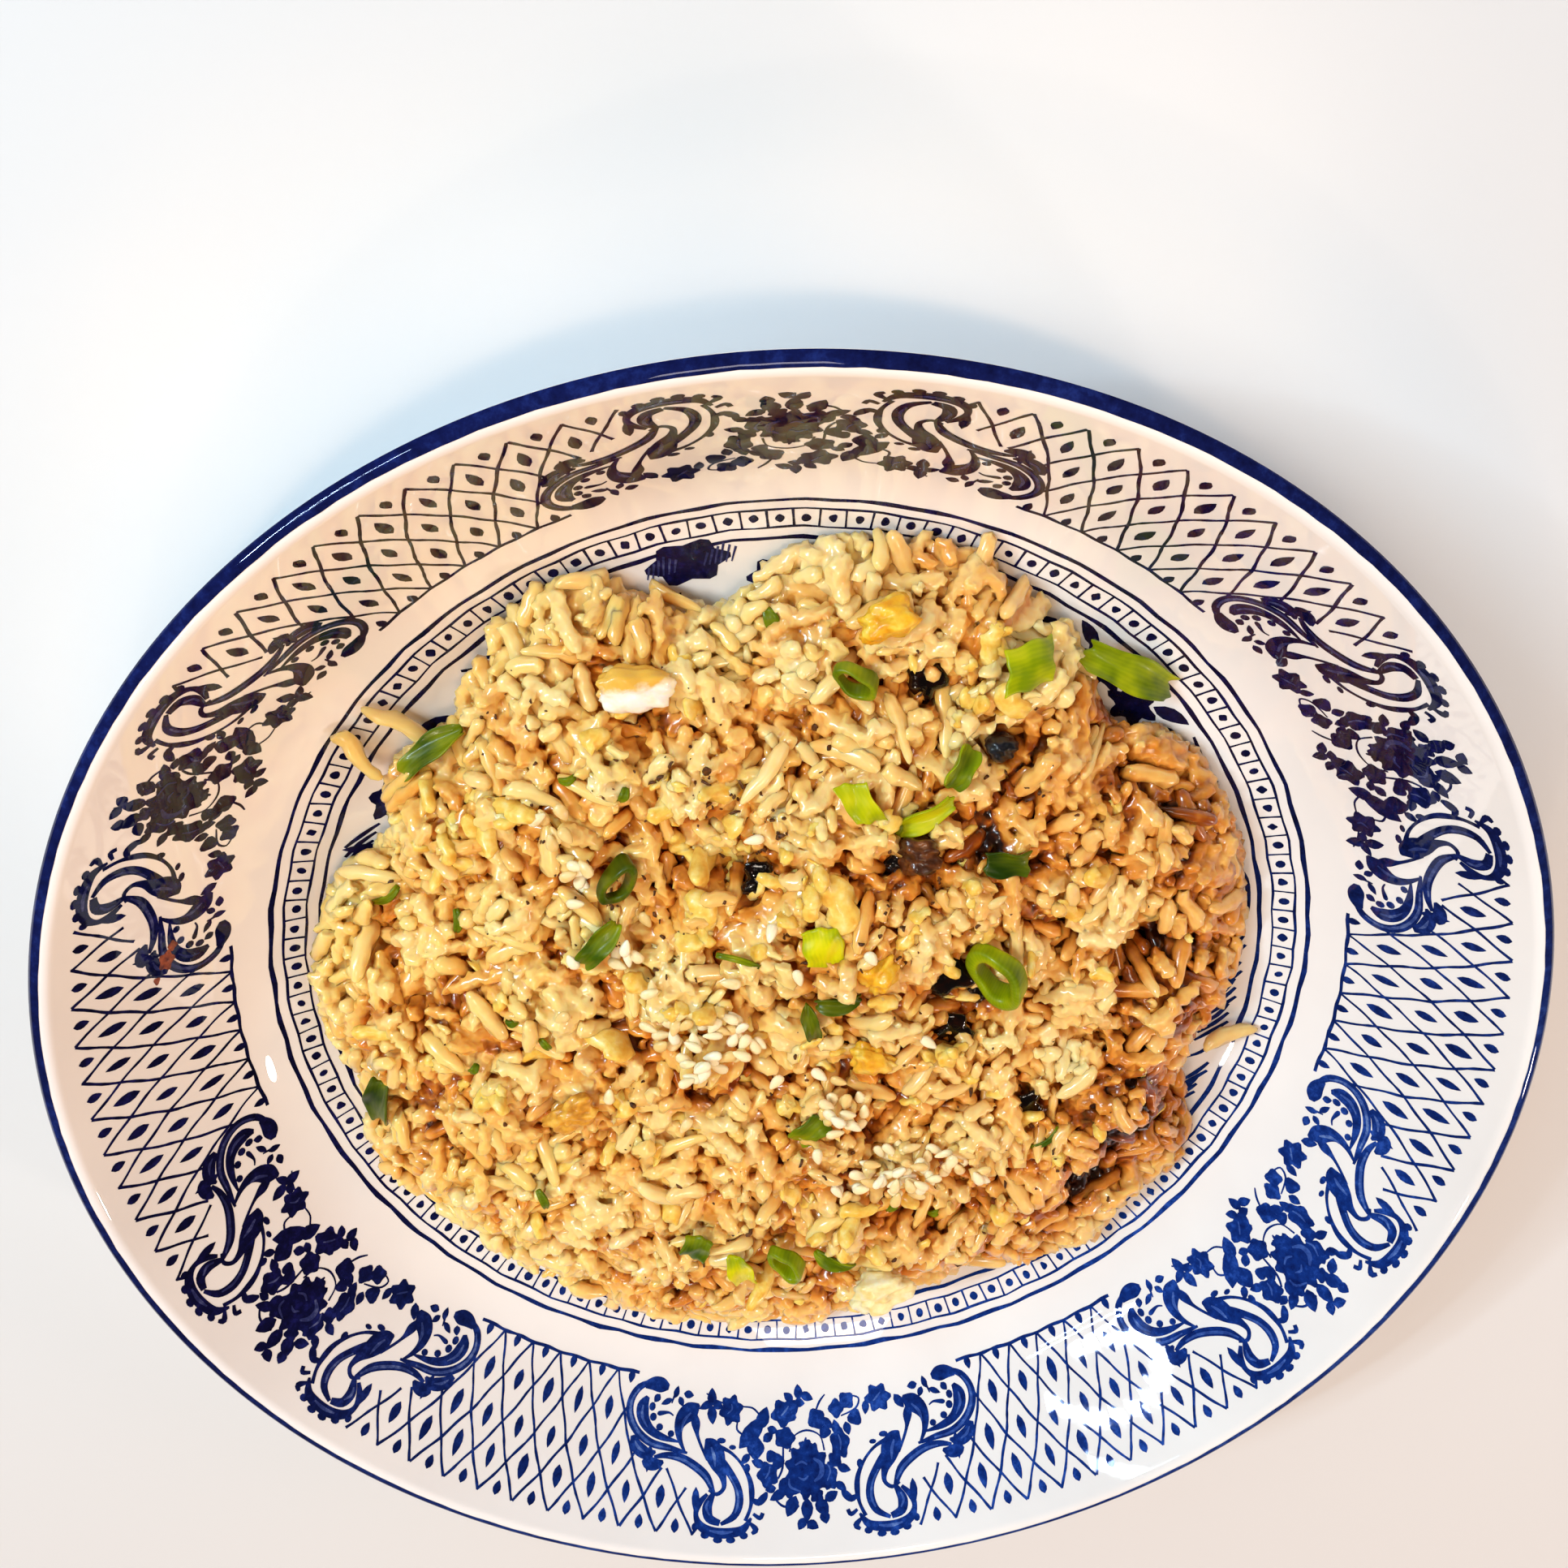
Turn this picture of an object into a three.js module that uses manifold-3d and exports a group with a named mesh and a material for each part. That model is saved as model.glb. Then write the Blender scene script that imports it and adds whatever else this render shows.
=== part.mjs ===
// Fried rice served in a deep, blue-and-white glazed plate.
// The plate is one turned piece on a foot ring, with a curved well and a rolled lip. The rice is one heap whose
// top is moulded into grain-sized bumps, with loose grains and sesame seeds fused on. Spring onion cuts, egg curds
// and browned bits lie in beds in the heap, each as a piece of its own.
// Millimetres, +Z up. The origin is the centre of the foot ring's underside.
import * as THREE from 'three';
import { mergeVertices } from 'three/addons/utils/BufferGeometryUtils.js';
import Module from 'manifold-3d';

const wasm = await Module();
wasm.setup();

const deg = THREE.MathUtils.degToRad;

// ---- Driving dimensions ---------------------------------------------------------------------------------------

// Plate
const PLATE_RADIUS = 127; // a 254 mm plate
const PLATE_THICKNESS = 4;
const PLATE_SIDES = 54; // facets round the plate
const FLOOR_TOP = 6; // the well's flat floor above the table
const FLOOR_UNDER = 2.4;
const WELL_RADIUS = 74; // where the flat floor starts to curve up
const WALL_ANGLE = deg(52);
const FILLET_RADIUS = 40.6; // the curve between the floor and the wall
const LIP_RADIUS = 2.2; // the rolled lip
const LIP_TURN = deg(55); // how far the lip rolls down past its crest
const FOOT_OUTER = 75;
const FOOT_INNER = 70;

// Rice heap
const HEAP_RADIUS = 86; // the mean outline
const HEAP_CELLS = 40; // cells along each side of the grid that is wrapped into the outline
const EDGE_THICKNESS = 2.6; // one grain lying on the plate
const SHOULDER_HEIGHT = 8; // how much the heap rises close to its edge
const SHOULDER_WIDTH = 14;
const DOME_HEIGHT = 13.5; // the further rise to the middle
const DOME_RADIUS = 92;
const GAP = 0.35; // clearance between pieces that touch
const BED_OPENING = 9; // how far a hollow for a topping is open above it

// Cooked long rice grain and sesame seed
const GRAIN_LENGTH = 9.4;
const GRAIN_WIDTH = 3.2;
const BUMP_SPACING = 4.6; // one grain-sized bump for each square of this side
const BUMP_HEIGHT = 1.7;
const LOOSE_GRAINS = 46;
const SEED_LENGTH = 3.3;
const SEED_WIDTH = 2;
const SEED_THICKNESS = 1.1;

// Outline lobes: direction, how far the outline moves out, and half width in degrees.
const OUTLINE_LOBES = [
  [72, 7, 14],
  [43, -8, 7],
  [-15, -8, 11],
  [-33, 5, 7],
  [-52, 4, 9],
  [-74, -6, 8],
  [-108, 4, 10],
  [-135, 3, 14],
  [-158, 6, 8],
  [172, 4, 12],
  [149, -6, 5],
  [131, -4, 5],
  [113, 7, 9],
  [95, -8, 6],
];

// Clumps and hollows in the heap: x, y, radius, height.
const CLUMPS = [
  [-40, 72, 15, 4.5],
  [24, 76, 17, 4],
  [50, 58, 12, 3],
  [74, 28, 12, 4],
  [64, -16, 13, 3.5],
  [4, 28, 16, 2],
  [-62, 2, 17, 3],
  [-60, -36, 15, 3],
  [44, -36, 16, 3.5],
  [-20, -44, 17, 2.5],
  [12, -62, 12, 3],
  [-57, 42, 12, 3],
  [30, 9, 6, -9],
  [22, 39, 6, -6],
  [38, 53, 5, -5.5],
  [-4, 36, 4, -5],
  [63, 8, 5, -6],
  [-72, 24, 5, -5],
  [-30, 60, 5, -4],
  [58, -44, 6, -5],
  [14, 68, 5, -4],
];

// Sesame clusters: x, y, spread along x, spread along y, seeds.
const SEED_CLUSTERS = [
  [-19, 10, 9, 5, 16],
  [16, -27, 8, 5, 20],
  [-33, 40, 6, 7, 10],
  [-30, 25, 8, 4, 8],
  [8, -6, 7, 6, 8],
  [44, -30, 3, 5, 5],
];

// ---- Random draws and noise ----------------------------------------------------------------------------------

function randomFrom(seed) {
  let state = seed;
  return () => {
    state = (state + 0x6d2b79f5) | 0;
    let t = Math.imul(state ^ (state >>> 15), 1 | state);
    t = (t + Math.imul(t ^ (t >>> 7), 61 | t)) ^ t;
    return ((t ^ (t >>> 14)) >>> 0) / 4294967296;
  };
}

// A bell-shaped draw from -1 to 1.
const bell = (random) => (random() + random() + random()) / 1.5 - 1;

// ---- Surfaces that several pieces share ----------------------------------------------------------------------

const filletRun = FILLET_RADIUS * Math.sin(WALL_ANGLE);
const filletRise = FILLET_RADIUS * (1 - Math.cos(WALL_ANGLE));
const wallStart = { r: WELL_RADIUS + filletRun, z: FLOOR_TOP + filletRise };
const lipCentreR = PLATE_RADIUS - LIP_RADIUS * Math.sin(LIP_TURN);
const wallEndR = lipCentreR - LIP_RADIUS * Math.sin(WALL_ANGLE);
const wallEndZ = wallStart.z + (wallEndR - wallStart.r) * Math.tan(WALL_ANGLE);
const crestZ = wallEndZ + LIP_RADIUS * (1 - Math.cos(WALL_ANGLE));

// Height of the plate's eating surface at a radius inside the lip.
function plateTop(r) {
  if (r <= WELL_RADIUS) return FLOOR_TOP;
  if (r >= wallStart.r) return wallStart.z + (r - wallStart.r) * Math.tan(WALL_ANGLE);
  const run = r - WELL_RADIUS;
  return FLOOR_TOP + FILLET_RADIUS - Math.sqrt(FILLET_RADIUS ** 2 - run ** 2);
}

// Radius of the heap's outline in a direction.
function outline(angle) {
  const lobes = OUTLINE_LOBES.map(([at, out, width]) => {
    const turn = THREE.MathUtils.euclideanModulo(THREE.MathUtils.radToDeg(angle) - at + 180, 360) - 180;
    return out * Math.exp(-((turn / width) ** 2));
  });
  return HEAP_RADIUS + lobes.reduce((sum, out) => sum + out, 0);
}

// Height of the heap without its bumps.
function heapTop(x, y) {
  const r = Math.hypot(x, y);
  const edge = outline(Math.atan2(y, x));
  const inside = Math.max(0, edge - r);
  const shoulder = Math.sqrt(Math.min(1, inside / SHOULDER_WIDTH));
  const dome = Math.max(0, 1 - (r / DOME_RADIUS) ** 2);
  const clumps = CLUMPS.reduce((sum, [cx, cy, radius, height]) => {
    return sum + height * Math.exp(-((x - cx) ** 2 + (y - cy) ** 2) / radius ** 2);
  }, 0);
  return (
    plateTop(Math.min(r, edge)) + EDGE_THICKNESS + SHOULDER_HEIGHT * shoulder + DOME_HEIGHT * dome + clumps * shoulder
  );
}

// The heap's upward direction, from the slope across one grain's length.
function heapNormal(x, y) {
  const h = GRAIN_LENGTH / 2;
  const slopeX = (heapTop(x + h, y) - heapTop(x - h, y)) / (2 * h);
  const slopeY = (heapTop(x, y + h) - heapTop(x, y - h)) / (2 * h);
  return new THREE.Vector3(-slopeX, -slopeY, 1).normalize();
}

// ---- Closed meshes and booleans ------------------------------------------------------------------------------

function toSolid(geometry) {
  const bare = geometry.clone();
  bare.deleteAttribute('normal');
  bare.deleteAttribute('uv');
  const merged = mergeVertices(bare, 1e-4);
  return new wasm.Manifold(
    new wasm.Mesh({
      numProp: 3,
      vertProperties: merged.attributes.position.array,
      triVerts: new Uint32Array(merged.index.array),
    }),
  );
}

function toGeometry(solid) {
  const mesh = solid.getMesh();
  const geometry = new THREE.BufferGeometry();
  geometry.setAttribute('position', new THREE.BufferAttribute(new Float32Array(mesh.vertProperties), 3));
  geometry.setIndex(new THREE.BufferAttribute(new Uint32Array(mesh.triVerts), 1));
  geometry.computeVertexNormals();
  return geometry;
}

function indexed(points, faces) {
  const geometry = new THREE.BufferGeometry();
  geometry.setAttribute('position', new THREE.Float32BufferAttribute(points.flat(), 3));
  geometry.setIndex(faces.flat());
  return geometry;
}

// ---- Plate ---------------------------------------------------------------------------------------------------

// The turned section runs from the axis over the eating surface and the lip, and back under the wall and the foot.
function plateProfile() {
  const arc = (r, z, radius, from, to, steps) =>
    Array.from({ length: steps + 1 }, (_, i) => {
      const turn = from + ((to - from) * i) / steps;
      return [r + radius * Math.sin(turn), z - radius * Math.cos(turn)];
    });
  const filletCentre = [WELL_RADIUS, FLOOR_TOP + FILLET_RADIUS];
  const lipCentreZ = crestZ - LIP_RADIUS;
  const lip = Array.from({ length: 7 }, (_, i) => {
    const turn = -WALL_ANGLE + ((WALL_ANGLE + LIP_TURN) * i) / 6;
    return [lipCentreR + LIP_RADIUS * Math.sin(turn), lipCentreZ + LIP_RADIUS * Math.cos(turn)];
  });
  const outward = [Math.sin(WALL_ANGLE) * PLATE_THICKNESS, -Math.cos(WALL_ANGLE) * PLATE_THICKNESS];
  return [
    [0, FLOOR_TOP],
    ...arc(...filletCentre, FILLET_RADIUS, 0, WALL_ANGLE, 5),
    ...lip,
    [PLATE_RADIUS - 0.5, crestZ - 2.2],
    [wallEndR + outward[0], wallEndZ + outward[1]],
    ...arc(...filletCentre, FILLET_RADIUS + PLATE_THICKNESS, WALL_ANGLE, deg(6), 4),
    [FOOT_OUTER, 0],
    [FOOT_INNER, 0],
    [FOOT_INNER - 1, FLOOR_UNDER],
    [0, FLOOR_UNDER],
  ];
}

function makePlate() {
  const profile = plateProfile().map(([r, z]) => new THREE.Vector2(r, z));
  const geometry = new THREE.LatheGeometry(profile.reverse(), PLATE_SIDES);
  return geometry.rotateX(Math.PI / 2);
}

// ---- Toppings ------------------------------------------------------------------------------------------------

// A thin wavy cut of spring onion leaf: half outline times a bowed middle surface, both faces split alike.
// length runs along x and width along y. bow lifts the middle, cup lifts the long edges, taper narrows the ends.
function leafCut({ length, width, thickness = 0.9, bow = 1, cup = 0.8, taper = 0, skew = 0 }) {
  const along = Math.max(3, Math.round(length / 2.6));
  const across = 3;
  const faces = [];
  const points = [];
  for (const side of [1, -1]) {
    for (let i = 0; i <= along; i++) {
      for (let j = 0; j <= across; j++) {
        const u = (2 * i) / along - 1;
        const v = (2 * j) / across - 1;
        const half = (width / 2) * (1 - taper * u * u);
        const middle = bow * (1 - u * u) + cup * v * v + 0.25 * Math.sin(3 * u + 2 * v);
        points.push([(length / 2) * u + skew * v, half * v, middle + thickness / 2 + (side * thickness) / 2]);
      }
    }
  }
  const layer = (along + 1) * (across + 1);
  const at = (i, j) => i * (across + 1) + j;
  for (let i = 0; i < along; i++) {
    for (let j = 0; j < across; j++) {
      const [a, b, c, d] = [at(i, j), at(i + 1, j), at(i + 1, j + 1), at(i, j + 1)];
      faces.push([a, b, c], [a, c, d]);
      faces.push([a + layer, c + layer, b + layer], [a + layer, d + layer, c + layer]);
    }
  }
  const rim = [];
  for (let i = 0; i < along; i++) rim.push(at(i, 0));
  for (let j = 0; j < across; j++) rim.push(at(along, j));
  for (let i = along; i > 0; i--) rim.push(at(i, across));
  for (let j = across; j > 0; j--) rim.push(at(0, j));
  rim.forEach((a, k) => {
    const b = rim[(k + 1) % rim.length];
    faces.push([a, a + layer, b + layer], [a, b + layer, b]);
  });
  return indexed(points, faces);
}

// A slice of the hollow green stalk, oval and cut on the slant, standing on its cut face before it is tipped.
function stalkRing({ length, width, height, wall = 1.2, slant = 0.25 }) {
  const outer = width / 2;
  const profile = [
    [outer - wall, 0],
    [outer, 0],
    [outer, height],
    [outer - wall, height],
    [outer - wall, 0],
  ].map(([r, z]) => new THREE.Vector2(r, z));
  const geometry = new THREE.LatheGeometry(profile, 16).rotateX(Math.PI / 2).scale(length / width, 1, 1);
  const position = geometry.attributes.position;
  for (let i = 0; i < position.count; i++) {
    position.setZ(i, position.getZ(i) * (1 + (slant * position.getX(i)) / outer));
  }
  return geometry;
}

// An egg curd or a browned bit: a lump whose surface is pushed in and out, flattened below.
function curd({ length, width, height, seed }) {
  const geometry = mergeVertices(new THREE.IcosahedronGeometry(1, 1).deleteAttribute('normal').deleteAttribute('uv'));
  const position = geometry.attributes.position;
  const point = new THREE.Vector3();
  for (let i = 0; i < position.count; i++) {
    point.fromBufferAttribute(position, i);
    const swell =
      1 + 0.13 * Math.sin(3.1 * point.x + seed) + 0.12 * Math.sin(4.3 * point.y + 2 * seed) + 0.1 * Math.sin(5 * point.z);
    const z = Math.max(-0.55, point.z * swell);
    position.setXYZ(i, (point.x * swell * length) / 2, (point.y * swell * width) / 2, ((z + 0.55) * height) / 1.55);
  }
  return geometry;
}

// Every topping: its shape, its place, its turn about the vertical and how far it is tipped towards its own +y.
const TOPPINGS = {
  onion_leaf_long: { make: leafCut, length: 19, width: 6.5, bow: 2.4, cup: 1.2, taper: 0.5, x: 61, y: 62, turn: -30 },
  onion_square_upper: { make: leafCut, length: 9.5, width: 7.5, bow: 1, cup: 0.6, skew: 1.2, x: 42, y: 68, turn: 8 },
  onion_curl_upper: { make: stalkRing, length: 7.5, width: 5.5, height: 3, x: 14.5, y: 70, turn: -20, tip: 24 },
  onion_tube_small: { make: leafCut, length: 8, width: 4.6, bow: 0.8, cup: 1.4, x: 30, y: 53, turn: 52 },
  onion_flake_middle: { make: leafCut, length: 8, width: 5.2, bow: 0.8, cup: 0.6, skew: 1, x: 13.5, y: 48.5, turn: -62 },
  onion_strip_middle: { make: leafCut, length: 12, width: 4.6, bow: 1.2, cup: 1, taper: 0.3, x: 24, y: 44.5, turn: 27 },
  onion_dark_right: { make: leafCut, length: 8, width: 4.6, bow: 0.6, cup: 0.8, x: 38, y: 34, turn: -8 },
  onion_loop_left: { make: stalkRing, length: 10.5, width: 6.5, height: 3, wall: 1.1, x: -28.5, y: 38.5, turn: 62, tip: 20 },
  onion_strip_left: { make: leafCut, length: 11, width: 4.4, bow: 1.6, cup: 0.8, taper: 0.35, x: -33, y: 25.5, turn: 48 },
  onion_square_centre: { make: leafCut, length: 8, width: 7, bow: 0.7, cup: 0.5, x: 5.6, y: 23.5, turn: -84 },
  onion_ring_big: { make: stalkRing, length: 12, width: 9, height: 4.6, wall: 1.7, x: 36.9, y: 13.2, turn: -52, tip: 24 },
  onion_curl_centre: { make: leafCut, length: 8, width: 3.6, bow: 1.2, cup: 1, taper: 0.3, x: 7.4, y: 11.6, turn: 4 },
  onion_curl_dark: { make: leafCut, length: 8, width: 3.2, bow: 1, cup: 0.8, taper: 0.3, x: 2.4, y: 7.4, turn: -80 },
  onion_chip_lower: { make: leafCut, length: 7.5, width: 5, bow: 0.6, cup: 0.6, x: 0.6, y: -18, turn: 38 },
  onion_dark_lower: { make: leafCut, length: 7.5, width: 5.6, bow: 0.8, cup: 0.6, x: -23.6, y: -47, turn: 70 },
  onion_bright_lower: { make: leafCut, length: 11, width: 5, bow: 0.8, cup: 1, x: -15.5, y: -56, turn: -82 },
  onion_ring_lower: { make: stalkRing, length: 8.5, width: 6.5, height: 3.4, x: -5.8, y: -53, turn: -60, tip: 26 },
  onion_curl_lower: { make: leafCut, length: 9, width: 3.4, bow: 1.4, cup: 0.9, taper: 0.3, x: 3.4, y: -54.5, turn: -30 },
  onion_olive_left: { make: leafCut, length: 14, width: 5, bow: 1, cup: 1.2, taper: 0.45, x: -57, y: 58.5, turn: 34 },
  onion_dark_edge: { make: leafCut, length: 13, width: 6, bow: 1.4, cup: 1.2, taper: 0.4, x: -79.5, y: -12, turn: 72 },
  egg_white: { make: curd, length: 12, width: 7.5, height: 5, seed: 1, x: -21, y: 71, turn: -6 },
  egg_yolk_upper: { make: curd, length: 9, width: 6, height: 4, seed: 2, x: 20, y: 79, turn: 20 },
  egg_yolk_centre: { make: curd, length: 8, width: 6, height: 4, seed: 3, x: 14.6, y: 16.5, turn: 70 },
  egg_flake_lower: { make: curd, length: 8.5, width: 6.5, height: 3.2, seed: 4, x: 13.4, y: -2.6, turn: -35 },
  egg_pale_lower: { make: curd, length: 13, width: 8.5, height: 6, seed: 5, x: 11.8, y: -63.5, turn: 15 },
  egg_brown_left: { make: curd, length: 9, width: 6, height: 3.6, seed: 6, x: -43, y: -11, turn: 35 },
  brown_lump_upper: { make: curd, length: 8, width: 6.5, height: 4.6, seed: 7, x: 23.2, y: 35.6, turn: 10 },
  black_bean: { make: curd, length: 5.5, width: 4.8, height: 4.2, seed: 8, x: 38, y: 53.4, turn: 0 },
};

const COLOURS = {
  onion: { color: '#6f9a22', roughness: 0.35, metalness: 0 },
  egg: { color: '#efc552', roughness: 0.5, metalness: 0 },
  brown: { color: '#7a4318', roughness: 0.4, metalness: 0 },
  black: { color: '#1b1a22', roughness: 0.25, metalness: 0 },
};

// The hollow that a topping lies in: an upright well with eight sides round it, grown by the clearance and open above.
function bedFor(geometry) {
  const position = geometry.attributes.position;
  const sides = 8;
  const reach = [];
  let lowest = Infinity;
  for (let i = 0; i < position.count; i++) lowest = Math.min(lowest, position.getZ(i));
  for (let k = 0; k < sides; k++) {
    const turn = (2 * Math.PI * k) / sides;
    let far = -Infinity;
    for (let i = 0; i < position.count; i++) {
      far = Math.max(far, position.getX(i) * Math.cos(turn) + position.getY(i) * Math.sin(turn));
    }
    reach.push(far + GAP);
  }
  const corners = reach.map((far, k) => {
    const [turn, next] = [(2 * Math.PI * k) / sides, reach[(k + 1) % sides]];
    const aside = (next - far * Math.cos((2 * Math.PI) / sides)) / Math.sin((2 * Math.PI) / sides);
    return [far * Math.cos(turn) - aside * Math.sin(turn), far * Math.sin(turn) + aside * Math.cos(turn)];
  });
  const points = corners.flatMap(([x, y]) => [[x, y, lowest - GAP], [x, y, lowest + BED_OPENING]]);
  return toGeometry(wasm.Manifold.hull(points));
}

// Lays a topping on the heap: turned, tipped, then tilted with the slope, and lifted until it is clear of the core.
function layTopping({ make, x, y, turn, tip = 0, ...size }) {
  const geometry = make(size);
  geometry.rotateX(deg(tip)).rotateZ(deg(turn));
  const bed = bedFor(geometry);
  const tilt = new THREE.Quaternion().setFromUnitVectors(new THREE.Vector3(0, 0, 1), heapNormal(x, y));
  for (const shape of [geometry, bed]) shape.applyQuaternion(tilt);
  const position = geometry.attributes.position;
  let overHeap = -Infinity;
  let overPlate = -Infinity;
  for (let i = 0; i < position.count; i++) {
    const [px, py] = [x + position.getX(i), y + position.getY(i)];
    overHeap = Math.max(overHeap, heapTop(px, py) - position.getZ(i));
    overPlate = Math.max(overPlate, plateTop(Math.hypot(px, py)) + 2 * GAP - position.getZ(i));
  }
  const sink = Math.max(0, 0.55 * (overHeap - heapTop(x, y))); // a piece beds down among the grains
  for (const shape of [geometry, bed]) shape.translate(x, y, Math.max(overHeap - sink, overPlate));
  return { geometry, bed: toSolid(bed) };
}

// ---- Heap ----------------------------------------------------------------------------------------------------

// Whether a small piece of this reach would touch a topping.
function overTopping(x, y, reach) {
  return toppingPoints.some((point) => Math.hypot(point.x - x, point.y - y) < reach);
}

// Bumps of one grain's size and all directions, one for each square of a jittered grid.
function makeBumps() {
  const random = randomFrom(11);
  const bumps = [];
  for (let x = -HEAP_RADIUS; x <= HEAP_RADIUS; x += BUMP_SPACING) {
    for (let y = -HEAP_RADIUS; y <= HEAP_RADIUS; y += BUMP_SPACING) {
      bumps.push({
        x: x + BUMP_SPACING * (random() - 0.5),
        y: y + BUMP_SPACING * (random() - 0.5),
        turn: Math.PI * random(),
        height: BUMP_HEIGHT * (0.5 + random()),
      });
    }
  }
  return bumps;
}

function bumpAt(bumps, x, y) {
  let highest = 0;
  for (const bump of bumps) {
    const dx = x - bump.x;
    const dy = y - bump.y;
    if (Math.abs(dx) > GRAIN_LENGTH || Math.abs(dy) > GRAIN_LENGTH) continue;
    const along = (dx * Math.cos(bump.turn) + dy * Math.sin(bump.turn)) / (GRAIN_LENGTH / 2);
    const across = (dy * Math.cos(bump.turn) - dx * Math.sin(bump.turn)) / (GRAIN_WIDTH / 2);
    const rise = 1 - along ** 2 - across ** 2;
    if (rise > 0) highest = Math.max(highest, bump.height * Math.sqrt(rise));
  }
  return highest;
}

// Wraps a square grid point into the unit disc with little distortion.
function squareToDisc(a, b) {
  if (a === 0 && b === 0) return [0, 0];
  const flat = Math.abs(a) > Math.abs(b);
  const reach = flat ? a : b;
  const turn = flat ? (Math.PI / 4) * (b / a) : Math.PI / 2 - (Math.PI / 4) * (a / b);
  return [reach * Math.cos(turn), reach * Math.sin(turn)];
}

// The heap's body: a bumpy top, a low side one grain high, and an underside that follows the plate.
function heapBody() {
  const random = randomFrom(23);
  const bumps = makeBumps();
  const count = HEAP_CELLS + 1;
  const cell = 2 / HEAP_CELLS;
  const points = [];
  const faces = [];
  const at = (i, j) => i * count + j;
  for (let i = 0; i < count; i++) {
    for (let j = 0; j < count; j++) {
      const inner = i > 0 && j > 0 && i < HEAP_CELLS && j < HEAP_CELLS;
      const shift = inner ? 0.5 * cell : 0;
      const a = -1 + cell * i + shift * (random() - 0.5);
      const b = -1 + cell * j + shift * (random() - 0.5);
      const [dx, dy] = squareToDisc(a, b);
      const edge = outline(Math.atan2(dy, dx));
      const [x, y] = [dx * edge, dy * edge];
      const rise = inner ? bumpAt(bumps, x, y) : 0.6 * random();
      points.push([x, y, heapTop(x, y) - 1 + rise]);
    }
  }
  for (let i = 0; i < HEAP_CELLS; i++) {
    for (let j = 0; j < HEAP_CELLS; j++) {
      const [a, b, c, d] = [at(i, j), at(i + 1, j), at(i + 1, j + 1), at(i, j + 1)];
      if ((i + j) % 2) faces.push([a, b, c], [a, c, d]);
      else faces.push([a, b, d], [b, c, d]);
    }
  }
  const rim = [];
  for (let i = 0; i < HEAP_CELLS; i++) rim.push(at(i, 0));
  for (let j = 0; j < HEAP_CELLS; j++) rim.push(at(HEAP_CELLS, j));
  for (let i = HEAP_CELLS; i > 0; i--) rim.push(at(i, HEAP_CELLS));
  for (let j = HEAP_CELLS; j > 0; j--) rim.push(at(0, j));
  const first = points.length;
  for (const share of [1, WELL_RADIUS / HEAP_RADIUS]) {
    for (const top of rim) {
      const [x, y] = points[top];
      const r = Math.hypot(x, y);
      points.push([x * share, y * share, plateTop(r * share) + GAP]);
    }
  }
  const hub = points.push([0, 0, FLOOR_TOP + GAP]) - 1;
  rim.forEach((top, k) => {
    const next = (k + 1) % rim.length;
    const [low, lowNext] = [first + k, first + next];
    const [under, underNext] = [low + rim.length, lowNext + rim.length];
    faces.push([top, low, lowNext], [top, lowNext, rim[next]]);
    faces.push([low, under, underNext], [low, underNext, lowNext]);
    faces.push([under, hub, underNext]);
  });
  return toSolid(indexed(points, faces));
}

// A grain: five sides, blunt ends, lying along x.
function grainGeometry(length, width) {
  const half = length / 2;
  const profile = [
    [0, -half],
    [0.46 * width, -0.62 * half],
    [0.46 * width, 0.6 * half],
    [0, half],
  ].map(([r, z]) => new THREE.Vector2(r, z));
  return new THREE.LatheGeometry(profile, 5).rotateZ(-Math.PI / 2);
}

// A small piece that lies on the heap, sunk by a share of its thickness, or null where it would reach a topping.
function layOnHeap(geometry, x, y, turn, raise, reach) {
  if (overTopping(x, y, reach)) return null;
  geometry.rotateZ(turn);
  geometry.applyQuaternion(new THREE.Quaternion().setFromUnitVectors(new THREE.Vector3(0, 0, 1), heapNormal(x, y)));
  return toSolid(geometry.translate(x, y, heapTop(x, y) + raise));
}

// Loose grains, spread over the heap by the golden angle so that no two lie close.
function looseGrains() {
  const random = randomFrom(37);
  const grains = [];
  for (let i = 0; i < LOOSE_GRAINS; i++) {
    const angle = i * deg(137.508);
    const r = outline(angle) * 0.96 * Math.sqrt((i + 0.5) / LOOSE_GRAINS);
    const length = GRAIN_LENGTH * (0.8 + 0.4 * random());
    const grain = grainGeometry(length, GRAIN_WIDTH).rotateY(deg(20) * (random() - 0.5));
    const turn = 2 * Math.PI * random();
    const laid = layOnHeap(grain, r * Math.cos(angle), r * Math.sin(angle), turn, 1.4, length / 2 + 2.2);
    if (laid) grains.push(laid);
  }
  return grains;
}

function sesameSeeds() {
  const random = randomFrom(53);
  const seeds = [];
  const placed = [];
  for (const [cx, cy, spreadX, spreadY, count] of SEED_CLUSTERS) {
    for (let i = 0; i < count; i++) {
      const x = cx + spreadX * bell(random);
      const y = cy + spreadY * bell(random);
      const turn = 2 * Math.PI * random();
      if (placed.some(([px, py]) => Math.hypot(px - x, py - y) < 0.8 * SEED_WIDTH)) continue;
      const seed = new THREE.IcosahedronGeometry(0.5, 0).scale(SEED_LENGTH, SEED_WIDTH, SEED_THICKNESS);
      const laid = layOnHeap(seed, x, y, turn, 1.1, SEED_LENGTH / 2 + 1.2);
      if (laid) {
        seeds.push(laid);
        placed.push([x, y]);
      }
    }
  }
  return seeds;
}

// The heap with what is fused on, without any scrap that is not joined to it.
function makeHeap() {
  const joined = wasm.Manifold.union([heapBody(), ...looseGrains(), ...sesameSeeds()]).subtract(
    wasm.Manifold.union(beds),
  );
  const bodies = joined.decompose().sort((a, b) => b.volume() - a.volume());
  return toGeometry(bodies[0]);
}

// ---- The plate with its food ---------------------------------------------------------------------------------

const group = new THREE.Group();

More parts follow.
